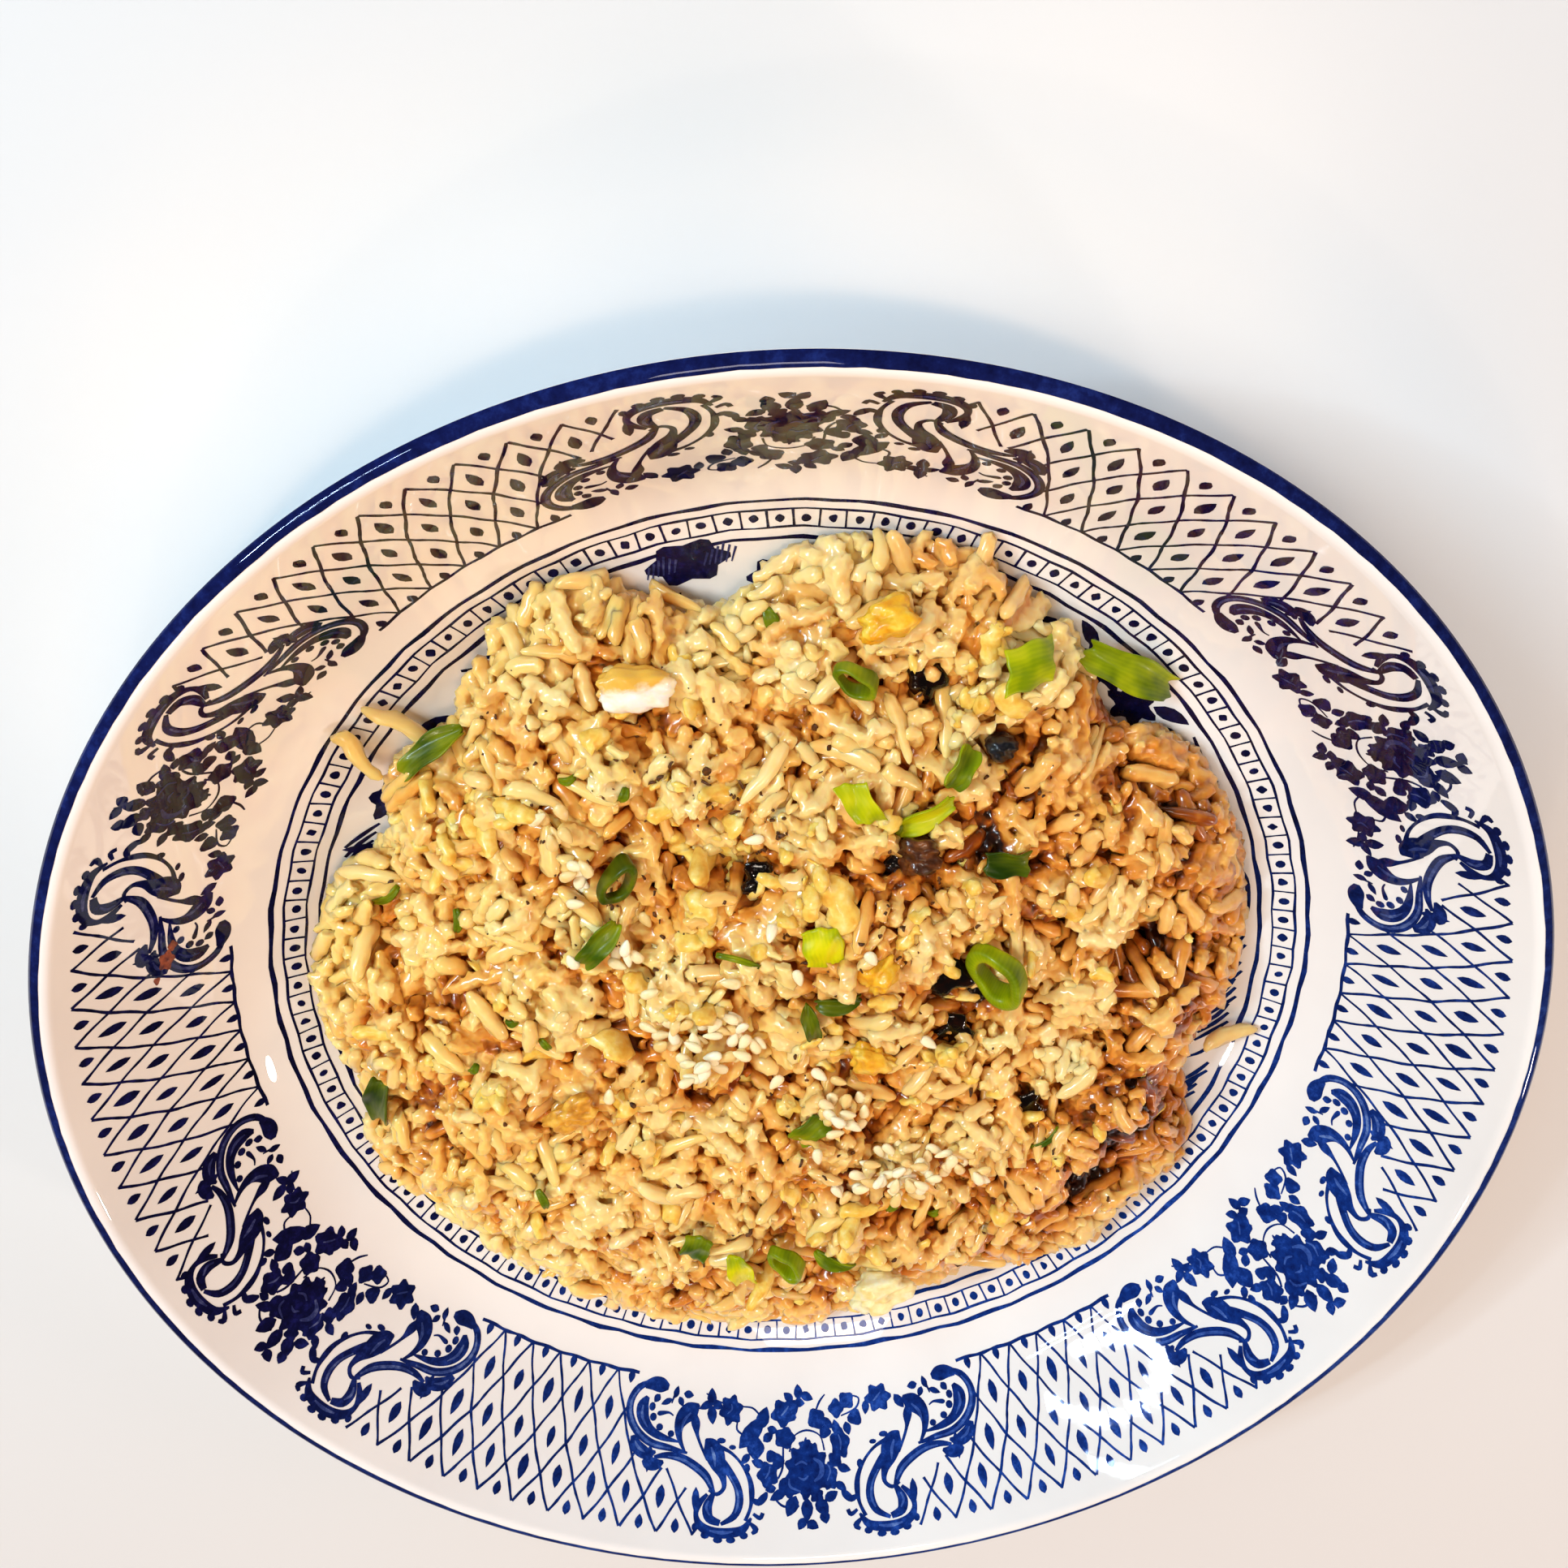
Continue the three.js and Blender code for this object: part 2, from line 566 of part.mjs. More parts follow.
function add(name, geometry, finish) {
  const mesh = new THREE.Mesh(geometry, new THREE.MeshStandardMaterial(finish));
  mesh.name = name;
  group.add(mesh);
}

add('plate', makePlate(), { color: '#ece4dc', roughness: 0.12, metalness: 0 });

const beds = [];
const toppingPoints = [];
for (const [name, topping] of Object.entries(TOPPINGS)) {
  const { geometry, bed } = layTopping(topping);
  const position = geometry.attributes.position;
  for (let i = 0; i < position.count; i++) toppingPoints.push(new THREE.Vector3().fromBufferAttribute(position, i));
  beds.push(bed);
  add(name, geometry, COLOURS[name.split('_')[0]]);
}

add('rice_heap', makeHeap(), { color: '#d9b26a', roughness: 0.45, metalness: 0 });

export default group;
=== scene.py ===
import math

import bmesh
import bpy
import numpy as np
from mathutils import Matrix, Quaternion, Vector
from mathutils.kdtree import KDTree


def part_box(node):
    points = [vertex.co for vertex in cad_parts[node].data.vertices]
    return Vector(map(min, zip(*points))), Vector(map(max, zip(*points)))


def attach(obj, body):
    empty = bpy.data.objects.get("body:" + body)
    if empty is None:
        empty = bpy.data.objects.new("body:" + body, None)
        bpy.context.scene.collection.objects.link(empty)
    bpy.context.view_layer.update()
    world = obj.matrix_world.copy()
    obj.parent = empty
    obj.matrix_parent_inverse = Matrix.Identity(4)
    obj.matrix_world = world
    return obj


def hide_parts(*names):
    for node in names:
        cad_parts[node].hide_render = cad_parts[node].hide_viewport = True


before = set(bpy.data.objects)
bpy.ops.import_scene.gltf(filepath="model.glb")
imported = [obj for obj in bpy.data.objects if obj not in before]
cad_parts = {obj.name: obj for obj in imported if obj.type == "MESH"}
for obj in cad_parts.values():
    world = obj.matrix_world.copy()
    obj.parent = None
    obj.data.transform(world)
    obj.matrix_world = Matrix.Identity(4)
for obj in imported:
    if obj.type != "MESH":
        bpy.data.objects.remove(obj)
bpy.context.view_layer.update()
scene = bpy.context.scene
MM = 0.001

# ---- Camera ----
# A phone held over the near side of the table, looking down at the plate at about 61 degrees. It is turned almost
# half round, so that the plate's near side comes out at the top of the frame.
HELD_AT = Vector((1.211, 169.287, 237.69))
LOOK = Vector((0, -0.48175, -0.87631))
ROLL = math.radians(175.14)

camera_data = bpy.data.cameras.new("camera")
camera_data.sensor_width = 36
camera_data.lens = 33.671
camera_data.clip_start = 0.01
camera = bpy.data.objects.new("camera", camera_data)
camera.rotation_mode = "QUATERNION"
camera.rotation_quaternion = LOOK.to_track_quat("-Z", "Y") @ Quaternion((0, 0, 1), ROLL)
camera.location = HELD_AT * MM
scene.collection.objects.link(camera)
scene.camera = camera


# ---- Plate ----
# Glazed white earthenware, jiggered on a mould and glazed all over: a flat well, a wall that curves up from it and a
# rolled lip. It stands on a foot ring. The clear glaze is glassy, with a faint ripple.
PLATE_R = 127.0
FLOOR_TOP = 6.0  # height of the flat well
WELL_R = 74.0  # where the well starts to curve up
FILLET_R = 40.6  # radius of that curve
WALL = math.radians(52)
LIP_R = 2.2
LIP_TURN = math.radians(55)  # how far the lip rolls over, past level
THICK = 4.0
UNDERSIDE_START = math.radians(6)  # slope of the underside where it leaves the foot ring
RECESS = 2.4  # height of the underside inside the foot ring
FOOT = ((75.4, 0.8), (75.0, 0.2), (74.5, 0.0), (70.5, 0.0), (70.0, 0.3), (69.2, 2.0), (68.6, 2.35), (66, RECESS))
SPIN_STEPS = 288

# A place on the eating surface has s, its distance along the surface from the edge of the flat well.
s_wall = FILLET_R * WALL
r_wall = WELL_R + FILLET_R * math.sin(WALL)
z_wall = FLOOR_TOP + FILLET_R * (1 - math.cos(WALL))
lip_r = PLATE_R - LIP_R * math.sin(LIP_TURN)
r_top = lip_r - LIP_R * math.sin(WALL)
s_top = s_wall + (r_top - r_wall) / math.cos(WALL)
z_top = z_wall + (r_top - r_wall) * math.tan(WALL)
crest = z_top + LIP_R * (1 - math.cos(WALL))
lip_z = crest - LIP_R
s_end = s_top + LIP_R * (WALL + LIP_TURN)


def on_plate(s, lift=0.0):
    """Radius and height of a place on the eating surface, or lifted off it."""
    s = np.asarray(s, float)
    turn = np.clip(s / FILLET_R, 0, WALL)
    r = WELL_R + FILLET_R * np.sin(turn) + np.minimum(s, 0)
    z = FLOOR_TOP + FILLET_R * (1 - np.cos(turn))
    climb = np.clip(s - s_wall, 0, s_top - s_wall)
    r = r + climb * math.cos(WALL)
    z = z + climb * math.sin(WALL)
    over = np.maximum(s - s_top, 0) / LIP_R
    lip = turn - over
    r = np.where(over > 0, lip_r - LIP_R * np.sin(WALL - over), r)
    z = np.where(over > 0, lip_z + LIP_R * np.cos(WALL - over), z)
    return r - lift * np.sin(lip), z + lift * np.cos(lip)


def plate_height(r):
    """Height of the eating surface at a radius inside the lip."""
    r = np.asarray(r, float)
    run = np.clip(r - WELL_R, 0, r_wall - WELL_R)
    curve = FLOOR_TOP + FILLET_R - np.sqrt(FILLET_R**2 - run**2)
    return curve + np.maximum(r - r_wall, 0) * math.tan(WALL)


def srgb(code):
    """A hex colour as linear RGBA."""
    parts = [int(code[i : i + 2], 16) / 255 for i in (1, 3, 5)]
    return [p / 12.92 if p <= 0.04045 else ((p + 0.055) / 1.055) ** 2.4 for p in parts] + [1]


def add_node(tree, kind, settings=None, to=None, **links):
    """A node with its settings; links gives each input a value or the node that feeds it, and to is what it feeds."""
    node = tree.nodes.new("ShaderNode" + kind)
    for key, value in (settings or {}).items():
        if key == "ramp":
            while len(node.color_ramp.elements) < len(value):
                node.color_ramp.elements.new(1)
            for element, (place, colour) in zip(node.color_ramp.elements, value):
                element.position = place
                element.color = srgb(colour)
        else:
            setattr(node, key, value)
    output = next(socket for socket in node.outputs if socket.enabled)
    for key, value in links.items():
        socket = node.inputs[int(key[1:]) if key[1:].isdigit() else key.replace("_", " ")]
        if isinstance(value, bpy.types.Node):
            value = next(feed for feed in value.outputs if feed.enabled)
        if isinstance(value, bpy.types.NodeSocket):
            tree.links.new(value, socket)
        else:
            socket.default_value = value
    if to:
        tree.links.new(output, to)
    return node


def new_material(name, **values):
    """A Principled material, its even values set on the shader, with its tree, shader and Object coordinates."""
    material = bpy.data.materials.new(name)
    material.use_nodes = True
    tree = material.node_tree
    shader = tree.nodes["Principled BSDF"]
    for key, value in values.items():
        shader.inputs[key.replace("_", " ")].default_value = value
    where = tree.nodes.new("ShaderNodeTexCoord").outputs["Object"]
    return material, tree, shader, where


def mesh_of(bm, name):
    """The bmesh, in mm, as a mesh in metres."""
    bmesh.ops.scale(bm, vec=(MM, MM, MM), verts=bm.verts)
    mesh = bpy.data.meshes.new(name)
    bm.to_mesh(mesh)
    bm.free()
    return mesh


def add_piece(name, shape, material, node=None):
    """Adds a bmesh in mm, or a finished mesh, as a piece of the one fixed body, in place of a node if one is named."""
    mesh = mesh_of(shape, name) if isinstance(shape, bmesh.types.BMesh) else shape
    mesh.materials.append(material)
    mesh.shade_smooth()
    piece = bpy.data.objects.new(name, mesh)
    scene.collection.objects.link(piece)
    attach(piece, "root")
    if node:
        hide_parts(node)
    return piece


# The white of the body clouds a little every 36 mm. The glaze over it is smooth as glass and ripples every 7 mm, so
# that lamps show in it sharp but a little bent.
glaze, tree, shader, where = new_material(
    "clear_glaze_on_white_earthenware", Roughness=0.02, IOR=1.52, Coat_Weight=0.3, Coat_Roughness=0.01
)
cloud = add_node(tree, "TexNoise", Vector=where, Scale=28.0, Detail=4.0)
WHITES = (0.3, "#ece8e6"), (0.7, "#f5f2f0")
add_node(tree, "ValToRGB", {"ramp": WHITES}, shader.inputs["Base Color"], Fac=cloud)
ripple = add_node(tree, "TexNoise", Vector=where, Scale=140.0, Detail=2.0)
add_node(tree, "Bump", {}, shader.inputs["Normal"], Strength=0.03, Distance=0.0004, Height=ripple)

outline = [(r, FLOOR_TOP) for r in (0, 30, 60)]
along_surface = [*np.arange(0, s_top, 1.0), *np.linspace(s_top, s_end, 12)]
outline += [tuple(map(float, on_plate(s))) for s in along_surface]
outline += [(PLATE_R - 0.12, crest - 1.5), (PLATE_R - 0.5, crest - 2.2)]
outline += [(r_top + THICK * math.sin(WALL), z_top - THICK * math.cos(WALL))]
under_r = FILLET_R + THICK
under_turns = np.linspace(WALL, UNDERSIDE_START, 16)
outline += [(WELL_R + under_r * math.sin(t), FLOOR_TOP + FILLET_R - under_r * math.cos(t)) for t in under_turns]
outline += [*FOOT, (30, RECESS), (0, RECESS)]

bm = bmesh.new()
profile = [bm.verts.new((r, 0, z)) for r, z in outline]
edges = [bm.edges.new(pair) for pair in zip(profile, profile[1:])]
bmesh.ops.spin(
    bm,
    geom=profile + edges,
    cent=(0, 0, 0),
    axis=(0, 0, 1),
    angle=2 * math.pi,
    steps=SPIN_STEPS,
    use_merge=True,
    use_duplicate=False,
)
bmesh.ops.remove_doubles(bm, verts=bm.verts, dist=0.002)
bmesh.ops.recalc_face_normals(bm, faces=bm.faces)
add_piece("glazed_plate", bm, glaze, "plate")


# ---- Transfer print ----
# A blue-and-white border in cobalt under the glaze, laid on as a tissue transfer: a banded ring of dotted squares,
# six lattice panels framed by scrolls, a flower spray between each two, and a blue lip. Where the engraving was
# stippled, the cobalt came out as a pale wash.
INK_LIFT = 0.045  # how far a line of ink stands off the glaze
WASH_LIFT = 0.075
SPRAY_AT = 26.4  # degrees round the plate of the first spray
MM_PER_DEG = 1.94  # round the plate, at the middle of the wall
WAVER = 0.16  # how far a line drawn by hand strays


def cobalt(name, shaded_side_inks, blue):
    """Cobalt under clear glaze: grainy every 2 mm, cloudy every 22, with painted shade making it nearly black on the
    near side and painted light making it blue towards the far side.
    """
    material, tree, shader, where = new_material(name, Roughness=0.02, IOR=1.52, Specular_Tint=srgb("#b4b8cc"))
    grain = add_node(tree, "TexNoise", Vector=where, Scale=520.0, Detail=3.0, Roughness=0.7)
    wash = add_node(tree, "TexNoise", Vector=where, Scale=45.0, Detail=1.0)
    both = add_node(tree, "Math", {"operation": "MULTIPLY_ADD"}, i0=wash, i1=0.5, i2=grain)
    places = (0.5, 0.78, 1.0)
    dark, light = (
        add_node(tree, "ValToRGB", {"ramp": list(zip(places, codes))}, Fac=both) for codes in (shaded_side_inks, blue)
    )
    # Painted light and shade: the ink runs from near-black on the near side to blue on the far side.
    side = add_node(tree, "VectorMath", {"operation": "DOT_PRODUCT"}, i0=where, i1=(5.0, -10.0, 0.0))
    add_node(tree, "Mix", {"data_type": "RGBA"}, shader.inputs["Base Color"], i0=side, i6=dark, i7=light)
    return material


ink = cobalt("cobalt_transfer_under_glaze", ("#08081e", "#0e0e36", "#1a1a58"), ("#091a54", "#11307c", "#2850ac"))
pale_ink = cobalt("stippled_cobalt_under_glaze", ("#181a40", "#2c305e", "#585c86"), ("#20387e", "#3a5aa6", "#7290c8"))


# Each shape is drawn flat, as degrees round the plate against millimetres up its wall, and then wrapped onto the glaze.
def smooth_path(points, per_span):
    """Points on a smooth curve through the given ones."""
    pts = np.array([points[0], *points, points[-1]], float)
    out = []
    for i in range(1, len(pts) - 2):
        a, b, c, d = pts[i - 1 : i + 3]
        for t in np.arange(0, 1, 1 / per_span):
            bent = 2 * b + (c - a) * t + (2 * a - 5 * b + 4 * c - d) * t**2
            out.append(0.5 * (bent + (3 * b - a - 3 * c + d) * t**3))
    return np.array([*out, pts[-2]])


def draw_stroke(bm, points, per_span=4):
    """A pen stroke through points, each given as degrees, mm and the stroke's width there in mm."""
    line = smooth_path(points, per_span)
    flat = line[:, :2] * [MM_PER_DEG, 1]
    along = np.gradient(flat, axis=0)
    along /= np.linalg.norm(along, axis=1)[:, None] + 1e-9
    across = np.stack([-along[:, 1], along[:, 0]], 1) * line[:, 2:] / 2
    left = (flat + across) / [MM_PER_DEG, 1]
    right = (flat - across) / [MM_PER_DEG, 1]
    rows = [[bm.verts.new((*a, 0)), bm.verts.new((*b, 0))] for a, b in zip(left, right)]
    for (a, b), (c, d) in zip(rows, rows[1:]):
        bm.faces.new((a, b, d, c))


def draw_leaf(bm, u, v, length, width, turn):
    """A pointed leaf, centred there, that points along turn."""
    c, s = math.cos(math.radians(turn)) / MM_PER_DEG, math.sin(math.radians(turn))
    shape = ((-0.5, 0.06), (-0.3, 0.75), (-0.08, 1), (0.15, 0.85), (0.36, 0.45), (0.5, 0.04))
    draw_stroke(bm, [(u + t * length * c, v + t * length * s, w * width) for t, w in shape], 1)


def draw_lobes(bm, u, v, wide, tall, lobes=0, depth=0.0, turn=0.0):
    """A filled oval whose edge may run in and out in lobes, as a flower's or a torn leaf's does."""
    made = bmesh.ops.create_circle(bm, cap_ends=True, cap_tris=True, segments=max(9, 5 * lobes), radius=1)["verts"]
    for vert in made:
        a = math.atan2(vert.co.y, vert.co.x) + math.radians(turn)
        k = 1 - depth * (0.5 - 0.5 * math.cos(lobes * a)) if vert.co.length > 0.5 else 1
        vert.co = (u + vert.co.x * k * wide / 2 / MM_PER_DEG, v + vert.co.y * k * tall / 2, 0)


def wrap_print(bm, name, centres=(0.0,), material=ink, lift=INK_LIFT):
    """Repeats a flat drawing at each centre, in degrees, wraps it onto the plate and adds it as a piece."""
    flat = list(bm.verts) + list(bm.edges) + list(bm.faces)
    copies = [list(bm.verts)]
    for _ in centres[1:]:
        made = bmesh.ops.duplicate(bm, geom=flat)["geom"]
        copies.append([g for g in made if isinstance(g, bmesh.types.BMVert)])
    for verts, centre in zip(copies, centres):
        r, z = on_plate(np.array([v.co.y for v in verts]), lift)
        for vert, rr, zz in zip(verts, r, z):
            a = math.radians(centre + vert.co.x)
            vert.co = (rr * math.cos(a), rr * math.sin(a), zz)
    for face in bm.faces:
        face.normal_update()
        if face.normal.z < 0:
            face.normal_flip()
    add_piece(name, bm, material)


sixths = [SPRAY_AT + 60 * k for k in range(6)]
rng = np.random.default_rng(5)

# The ring of dotted squares between its four lines, by their distance up the wall.
RING_OUTER, SQUARES_OUTER, SQUARES_INNER, RING_INNER = 24.6, 22.3, 18.2, 15.8
SQUARES = 138
bm = bmesh.new()
for s, width in ((RING_OUTER, 0.85), (SQUARES_OUTER, 0.5), (SQUARES_INNER, 0.45), (RING_INNER, 0.8)):
    turns = np.arange(0, 360, 2.5)
    wave = s + WAVER * np.sin(turns * 0.9) + WAVER * (rng.random(len(turns)) - 0.5)
    widths = width * (0.7 + 0.6 * rng.random(len(turns)))
    points = list(zip(turns, wave, widths))
    draw_stroke(bm, [*points, (360, *points[0][1:])], 2)
for k in range(SQUARES):
    at = 360 * k / SQUARES
    lean = 0.2 * (rng.random() - 0.5)
    middle = (SQUARES_OUTER + SQUARES_INNER) / 2
    weight = 0.42 + 0.2 * rng.random()
    ends = (at - lean, SQUARES_INNER, weight), (at + lean, SQUARES_OUTER, weight)
    draw_stroke(bm, [ends[0], (at, middle, 0.75 * weight), ends[1]], 1)
    u, v = at + 180 / SQUARES + 0.12 * (rng.random() - 0.5), middle + 0.3 * (rng.random() - 0.5)
    wide, tall = 1.75 + 0.5 * rng.random(), 1.7 + 0.5 * rng.random()
    draw_lobes(bm, u, v, wide, tall, int(rng.integers(2, 5)), 0.3 * rng.random(), 360 * rng.random())
wrap_print(bm, "print_ring_of_squares")

# The lattice: crossed lines that open towards the rim, a long dot in each diamond, and a drop between each two tips.
LATTICE_ROWS = (32.0, 40.3, 48.7, 55.6, 62.0)  # mm up the wall of its foot, its three rows of crossings and its tips
STEP = 1.85  # degrees between a tip and the next crossing
PANEL_EDGE = ((31, 10.6), (45, 10.8), (47.5, 12.2), (51, 16.6), (55, 19.2), (58, 18.9), (62.5, 19.6))


def inside_panel(u, v):
    """Whether a place is within the panel's outline, whose half width at each height is in PANEL_EDGE."""
    heights, halves = zip(*PANEL_EDGE)
    return abs(u) < np.interp(v, heights, halves)


bm = bmesh.new()
levels = np.linspace(LATTICE_ROWS[0], LATTICE_ROWS[-1], 28)
for tip in range(-9, 10):
    for lean in (1, -1):
        run = []
        for v in levels[::-1]:
            u = 2 * tip * STEP + lean * STEP * (4 - np.interp(v, LATTICE_ROWS, range(5)))
            u += 0.06 * math.sin(v * 0.8 + tip * 2.1 + lean)
            if inside_panel(u, v):
                run.append((u, v, 0.42 + 0.2 * rng.random()))
            elif run:
                break
        if len(run) > 2:
            draw_stroke(bm, run, 1)
for row, v in enumerate(LATTICE_ROWS):
    for k in range(-11, 12):
        if (k + row) % 2 == 0:
            continue
        u = k * STEP + 0.08 * (rng.random() - 0.5)
        if not inside_panel(u + 0.5 * np.sign(u), v):
            continue
        if row == 0:
            draw_leaf(bm, u, v + 1.0, 2.8, 1.6, 90)
        elif row == 4:
            draw_leaf(bm, u, v - 1.5, 2.8, 1.6, -90)
        else:
            draw_leaf(bm, u, v - 0.3, 4.4 + 1.2 * rng.random(), 1.5 + 0.5 * rng.random(), 90 + 8 * (rng.random() - 0.5))
scalloped = [(u, LATTICE_ROWS[0] + 0.12 * math.cos(math.pi * u / STEP)) for u in np.arange(-10.6, 10.7, 0.9)]
draw_stroke(bm, [(u, v, 0.5 + 0.3 * rng.random()) for u, v in scalloped], 2)
wrap_print(bm, "print_lattice_panels", [c + 30 for c in sixths])

# The scrolls that frame a panel: an acanthus head, a stem, a hanging leaf and a big curl, mirrored about the spray. A
# stroke's points are degrees, mm and width; a leaf has a place, length, width and turn; a bump a place and two widths.
SCROLL_STROKES = (
    ((8.7, 59.6, 0.7), (7.4, 58.0, 1.4), (6.9, 55.4, 1.7), (7.1, 52.6, 1.6), (7.9, 50.0, 1.6), (9.0, 47.6, 1.8),
     (9.9, 45.6, 0.6)),
    ((6.2, 58.8, 0.8), (5.7, 56.2, 0.7), (5.6, 53.4, 1.2), (5.9, 50.6, 1.0), (6.9, 47.6, 0.6), (8.3, 45.4, 0.7),
     (10.2, 44.2, 1.2)),
    ((5.6, 58.2, 0.5), (6.4, 60.4, 1.6), (7.8, 61.2, 2.0), (9.4, 61.2, 2.0), (10.7, 60.2, 1.7), (11.3, 58.2, 1.0),
     (11.1, 56.0, 1.3), (10.3, 54.0, 0.7)),
    ((8.8, 59.4, 1.2), (9.9, 58.6, 1.8), (10.2, 56.6, 2.0), (9.9, 54.8, 1.4), (9.6, 53.6, 0.8)),
    ((10.2, 53.2, 0.5), (9.3, 53.9, 0.8), (8.6, 52.6, 0.9), (8.8, 50.4, 1.6), (9.4, 48.0, 3.4), (9.9, 45.9, 4.2),
     (10.5, 44.2, 3.0), (11.0, 43.3, 0.4)),
    ((5.4, 57.4, 0.6), (4.7, 58.2, 0.9), (4.4, 57.2, 0.8)),
    ((5.6, 54.6, 0.7), (4.9, 55.2, 1.4), (4.3, 54.2, 1.5), (4.0, 53.2, 0.5)),
    ((5.7, 59.2, 0.6), (5.1, 60.4, 1.2), (5.5, 61.2, 0.6)),
    ((9.7, 53.6, 0.9), (10.5, 50.8, 1.7), (11.8, 48.9, 1.8), (13.5, 47.5, 1.7), (15.2, 47.3, 1.3), (16.5, 48.0, 0.7)),
    ((15.4, 48.6, 0.6), (16.2, 49.3, 2.4), (17.1, 49.3, 2.4), (17.7, 48.9, 0.6)),
    ((12.9, 46.4, 0.5), (15.0, 45.8, 1.3), (17.1, 45.3, 1.6), (18.9, 43.4, 1.7), (20.0, 40.6, 1.7),
     (20.2, 37.6, 1.6), (19.5, 34.8, 1.5), (18.0, 33.2, 0.9)),
    ((16.4, 46.9, 0.5), (17.4, 47.5, 2.4), (18.6, 46.4, 2.6), (19.2, 44.4, 1.2)),
    ((14.0, 44.4, 0.4), (15.9, 43.9, 1.4), (17.4, 42.8, 1.9), (18.4, 40.8, 2.6), (18.7, 38.4, 2.7), (18.3, 36.4, 0.9)),
    ((16.0, 33.9, 1.1), (16.8, 33.7, 3.0), (17.8, 33.6, 2.9), (18.9, 34.2, 1.4)),
    ((10.6, 47.4, 0.6), (11.4, 44.9, 0.6), (12.0, 42.6, 0.8), (12.3, 40.4, 2.0), (12.7, 38.4, 1.2)),
    ((13.2, 46.2, 0.5), (13.9, 44.0, 1.1), (14.2, 41.6, 2.0), (13.8, 39.4, 3.4), (12.9, 37.8, 3.6), (12.1, 36.6, 0.6)),
    ((15.0, 39.4, 0.3), (15.6, 38.9, 0.5), (16.6, 39.3, 1.0), (16.9, 39.5, 0.3)),
    ((15.4, 37.0, 0.3), (15.2, 35.4, 0.5), (14.9, 34.0, 0.4)),
)
SCROLL_LEAVES = (
    (13.5, 34.8, 2.4, 1.7, 175), (14.3, 36.4, 2.2, 1.4, 120), (16.0, 36.8, 2.8, 1.3, 30), (15.0, 34.6, 2.6, 1.4, -100),
    (17.2, 36.4, 2.0, 1.6, 60),
)
SCROLL_BUMPS = (
    (6.3, 61.6, 1.7, 1.4), (7.6, 62.5, 1.9, 1.3), (8.9, 62.6, 1.9, 1.3), (10.2, 61.8, 1.8, 1.5), (11.3, 60.4, 1.3, 1.6),
    (15.0, 43.0, 1.5, 1.4), (16.4, 42.0, 1.6, 1.5), (17.3, 40.2, 1.6, 1.7), (17.6, 38.2, 1.5, 1.8),
    (7.9, 44.6, 1.6, 1.0),
    (9.2, 43.4, 2.0, 1.2), (6.2, 48.6, 1.4, 1.9),
)
SCROLL_PALE = (
    ((9.9, 52.6, 0.3), (10.7, 50.6, 0.6), (11.9, 49.0, 0.6), (13.5, 47.7, 0.5), (15.0, 47.5, 0.3)),
    ((14.8, 45.9, 0.3), (17.0, 45.5, 0.5), (18.8, 43.5, 0.6), (19.9, 40.6, 0.6), (20.1, 37.6, 0.5), (19.5, 35.2, 0.3)),
    ((7.3, 57.4, 0.3), (7.0, 55.2, 0.5), (7.3, 52.6, 0.4), (8.1, 50.2, 0.3)),
    ((9.9, 58.0, 0.3), (10.3, 56.6, 0.5), (10.1, 55.2, 0.3)),
    ((7.4, 60.9, 0.3), (8.6, 61.2, 0.7), (9.8, 60.9, 0.3)),
    ((9.7, 48.6, 0.2), (9.9, 46.6, 0.7), (10.3, 44.8, 0.3)),
    ((17.8, 42.4, 0.2), (18.6, 40.4, 0.6), (18.7, 38.2, 0.3)),
    ((13.8, 42.4, 0.2), (13.7, 40.2, 0.7), (13.0, 38.4, 0.3)),
    ((17.6, 47.3, 0.2), (18.4, 46.6, 0.6), (18.9, 45.4, 0.2)),
)
bm, pale = bmesh.new(), bmesh.new()
for side in (1, -1):
    for points in SCROLL_STROKES:
        draw_stroke(bm, [(side * u, v, w) for u, v, w in points])
    for u, v, length, width, turn in SCROLL_LEAVES:
        draw_leaf(bm, side * u, v, length, width, turn if side > 0 else 180 - turn)
    for u, v, wide, tall in SCROLL_BUMPS:
        draw_lobes(bm, side * u, v, wide, tall)
    for points in SCROLL_PALE:
        draw_stroke(pale, [(side * u, v, w) for u, v, w in points])
wrap_print(bm, "print_scrolls", sixths)
wrap_print(pale, "print_scroll_washes", sixths, pale_ink, WASH_LIFT)

# The flower spray between two panels: a full rose among buds, with torn leaves and small blooms trailing below it. A
# bloom has a place, two widths, the number, depth and turn of its lobes.
SPRAY_BLOOMS = (
    (0.4, 49.2, 9.0, 10.8, 11, 0.22, 0), (-0.2, 49.4, 5.0, 6.2, 0, 0, 0), (2.8, 50.6, 3.2, 5.4, 5, 0.25, 20),
    (-3.9, 49.8, 4.4, 5.0, 5, 0.25, 40), (-2.0, 42.6, 4.4, 4.2, 5, 0.2, 0), (4.2, 44.2, 4.2, 6.0, 5, 0.25, 10),
    (-5.3, 44.6, 3.5, 4.2, 4, 0.15, 0), (-8.3, 37.2, 5.2, 6.0, 6, 0.3, 15), (-2.1, 37.6, 5.6, 5.6, 5, 0.3, 50),
    (1.7, 39.0, 3.8, 4.2, 4, 0.2, 30), (4.1, 37.2, 3.4, 3.8, 4, 0.25, 0), (5.4, 35.8, 3.6, 3.6, 4, 0.25, 40),
    (6.2, 39.4, 3.2, 3.4, 3, 0.25, 70), (9.2, 36.0, 5.8, 5.6, 6, 0.3, 0), (-3.5, 46.2, 2.6, 2.4, 3, 0.2, 0),
    (3.5, 47.4, 3.0, 3.2, 4, 0.25, 45), (-2.8, 47.2, 2.6, 3.2, 3, 0.2, 0), (-1.6, 53.0, 3.2, 2.8, 4, 0.3, 0),
    (1.3, 54.2, 3.0, 2.6, 4, 0.3, 45), (0.4, 44.4, 3.6, 2.6, 5, 0.3, 0), (2.6, 41.8, 2.6, 2.4, 3, 0.2, 0),
)
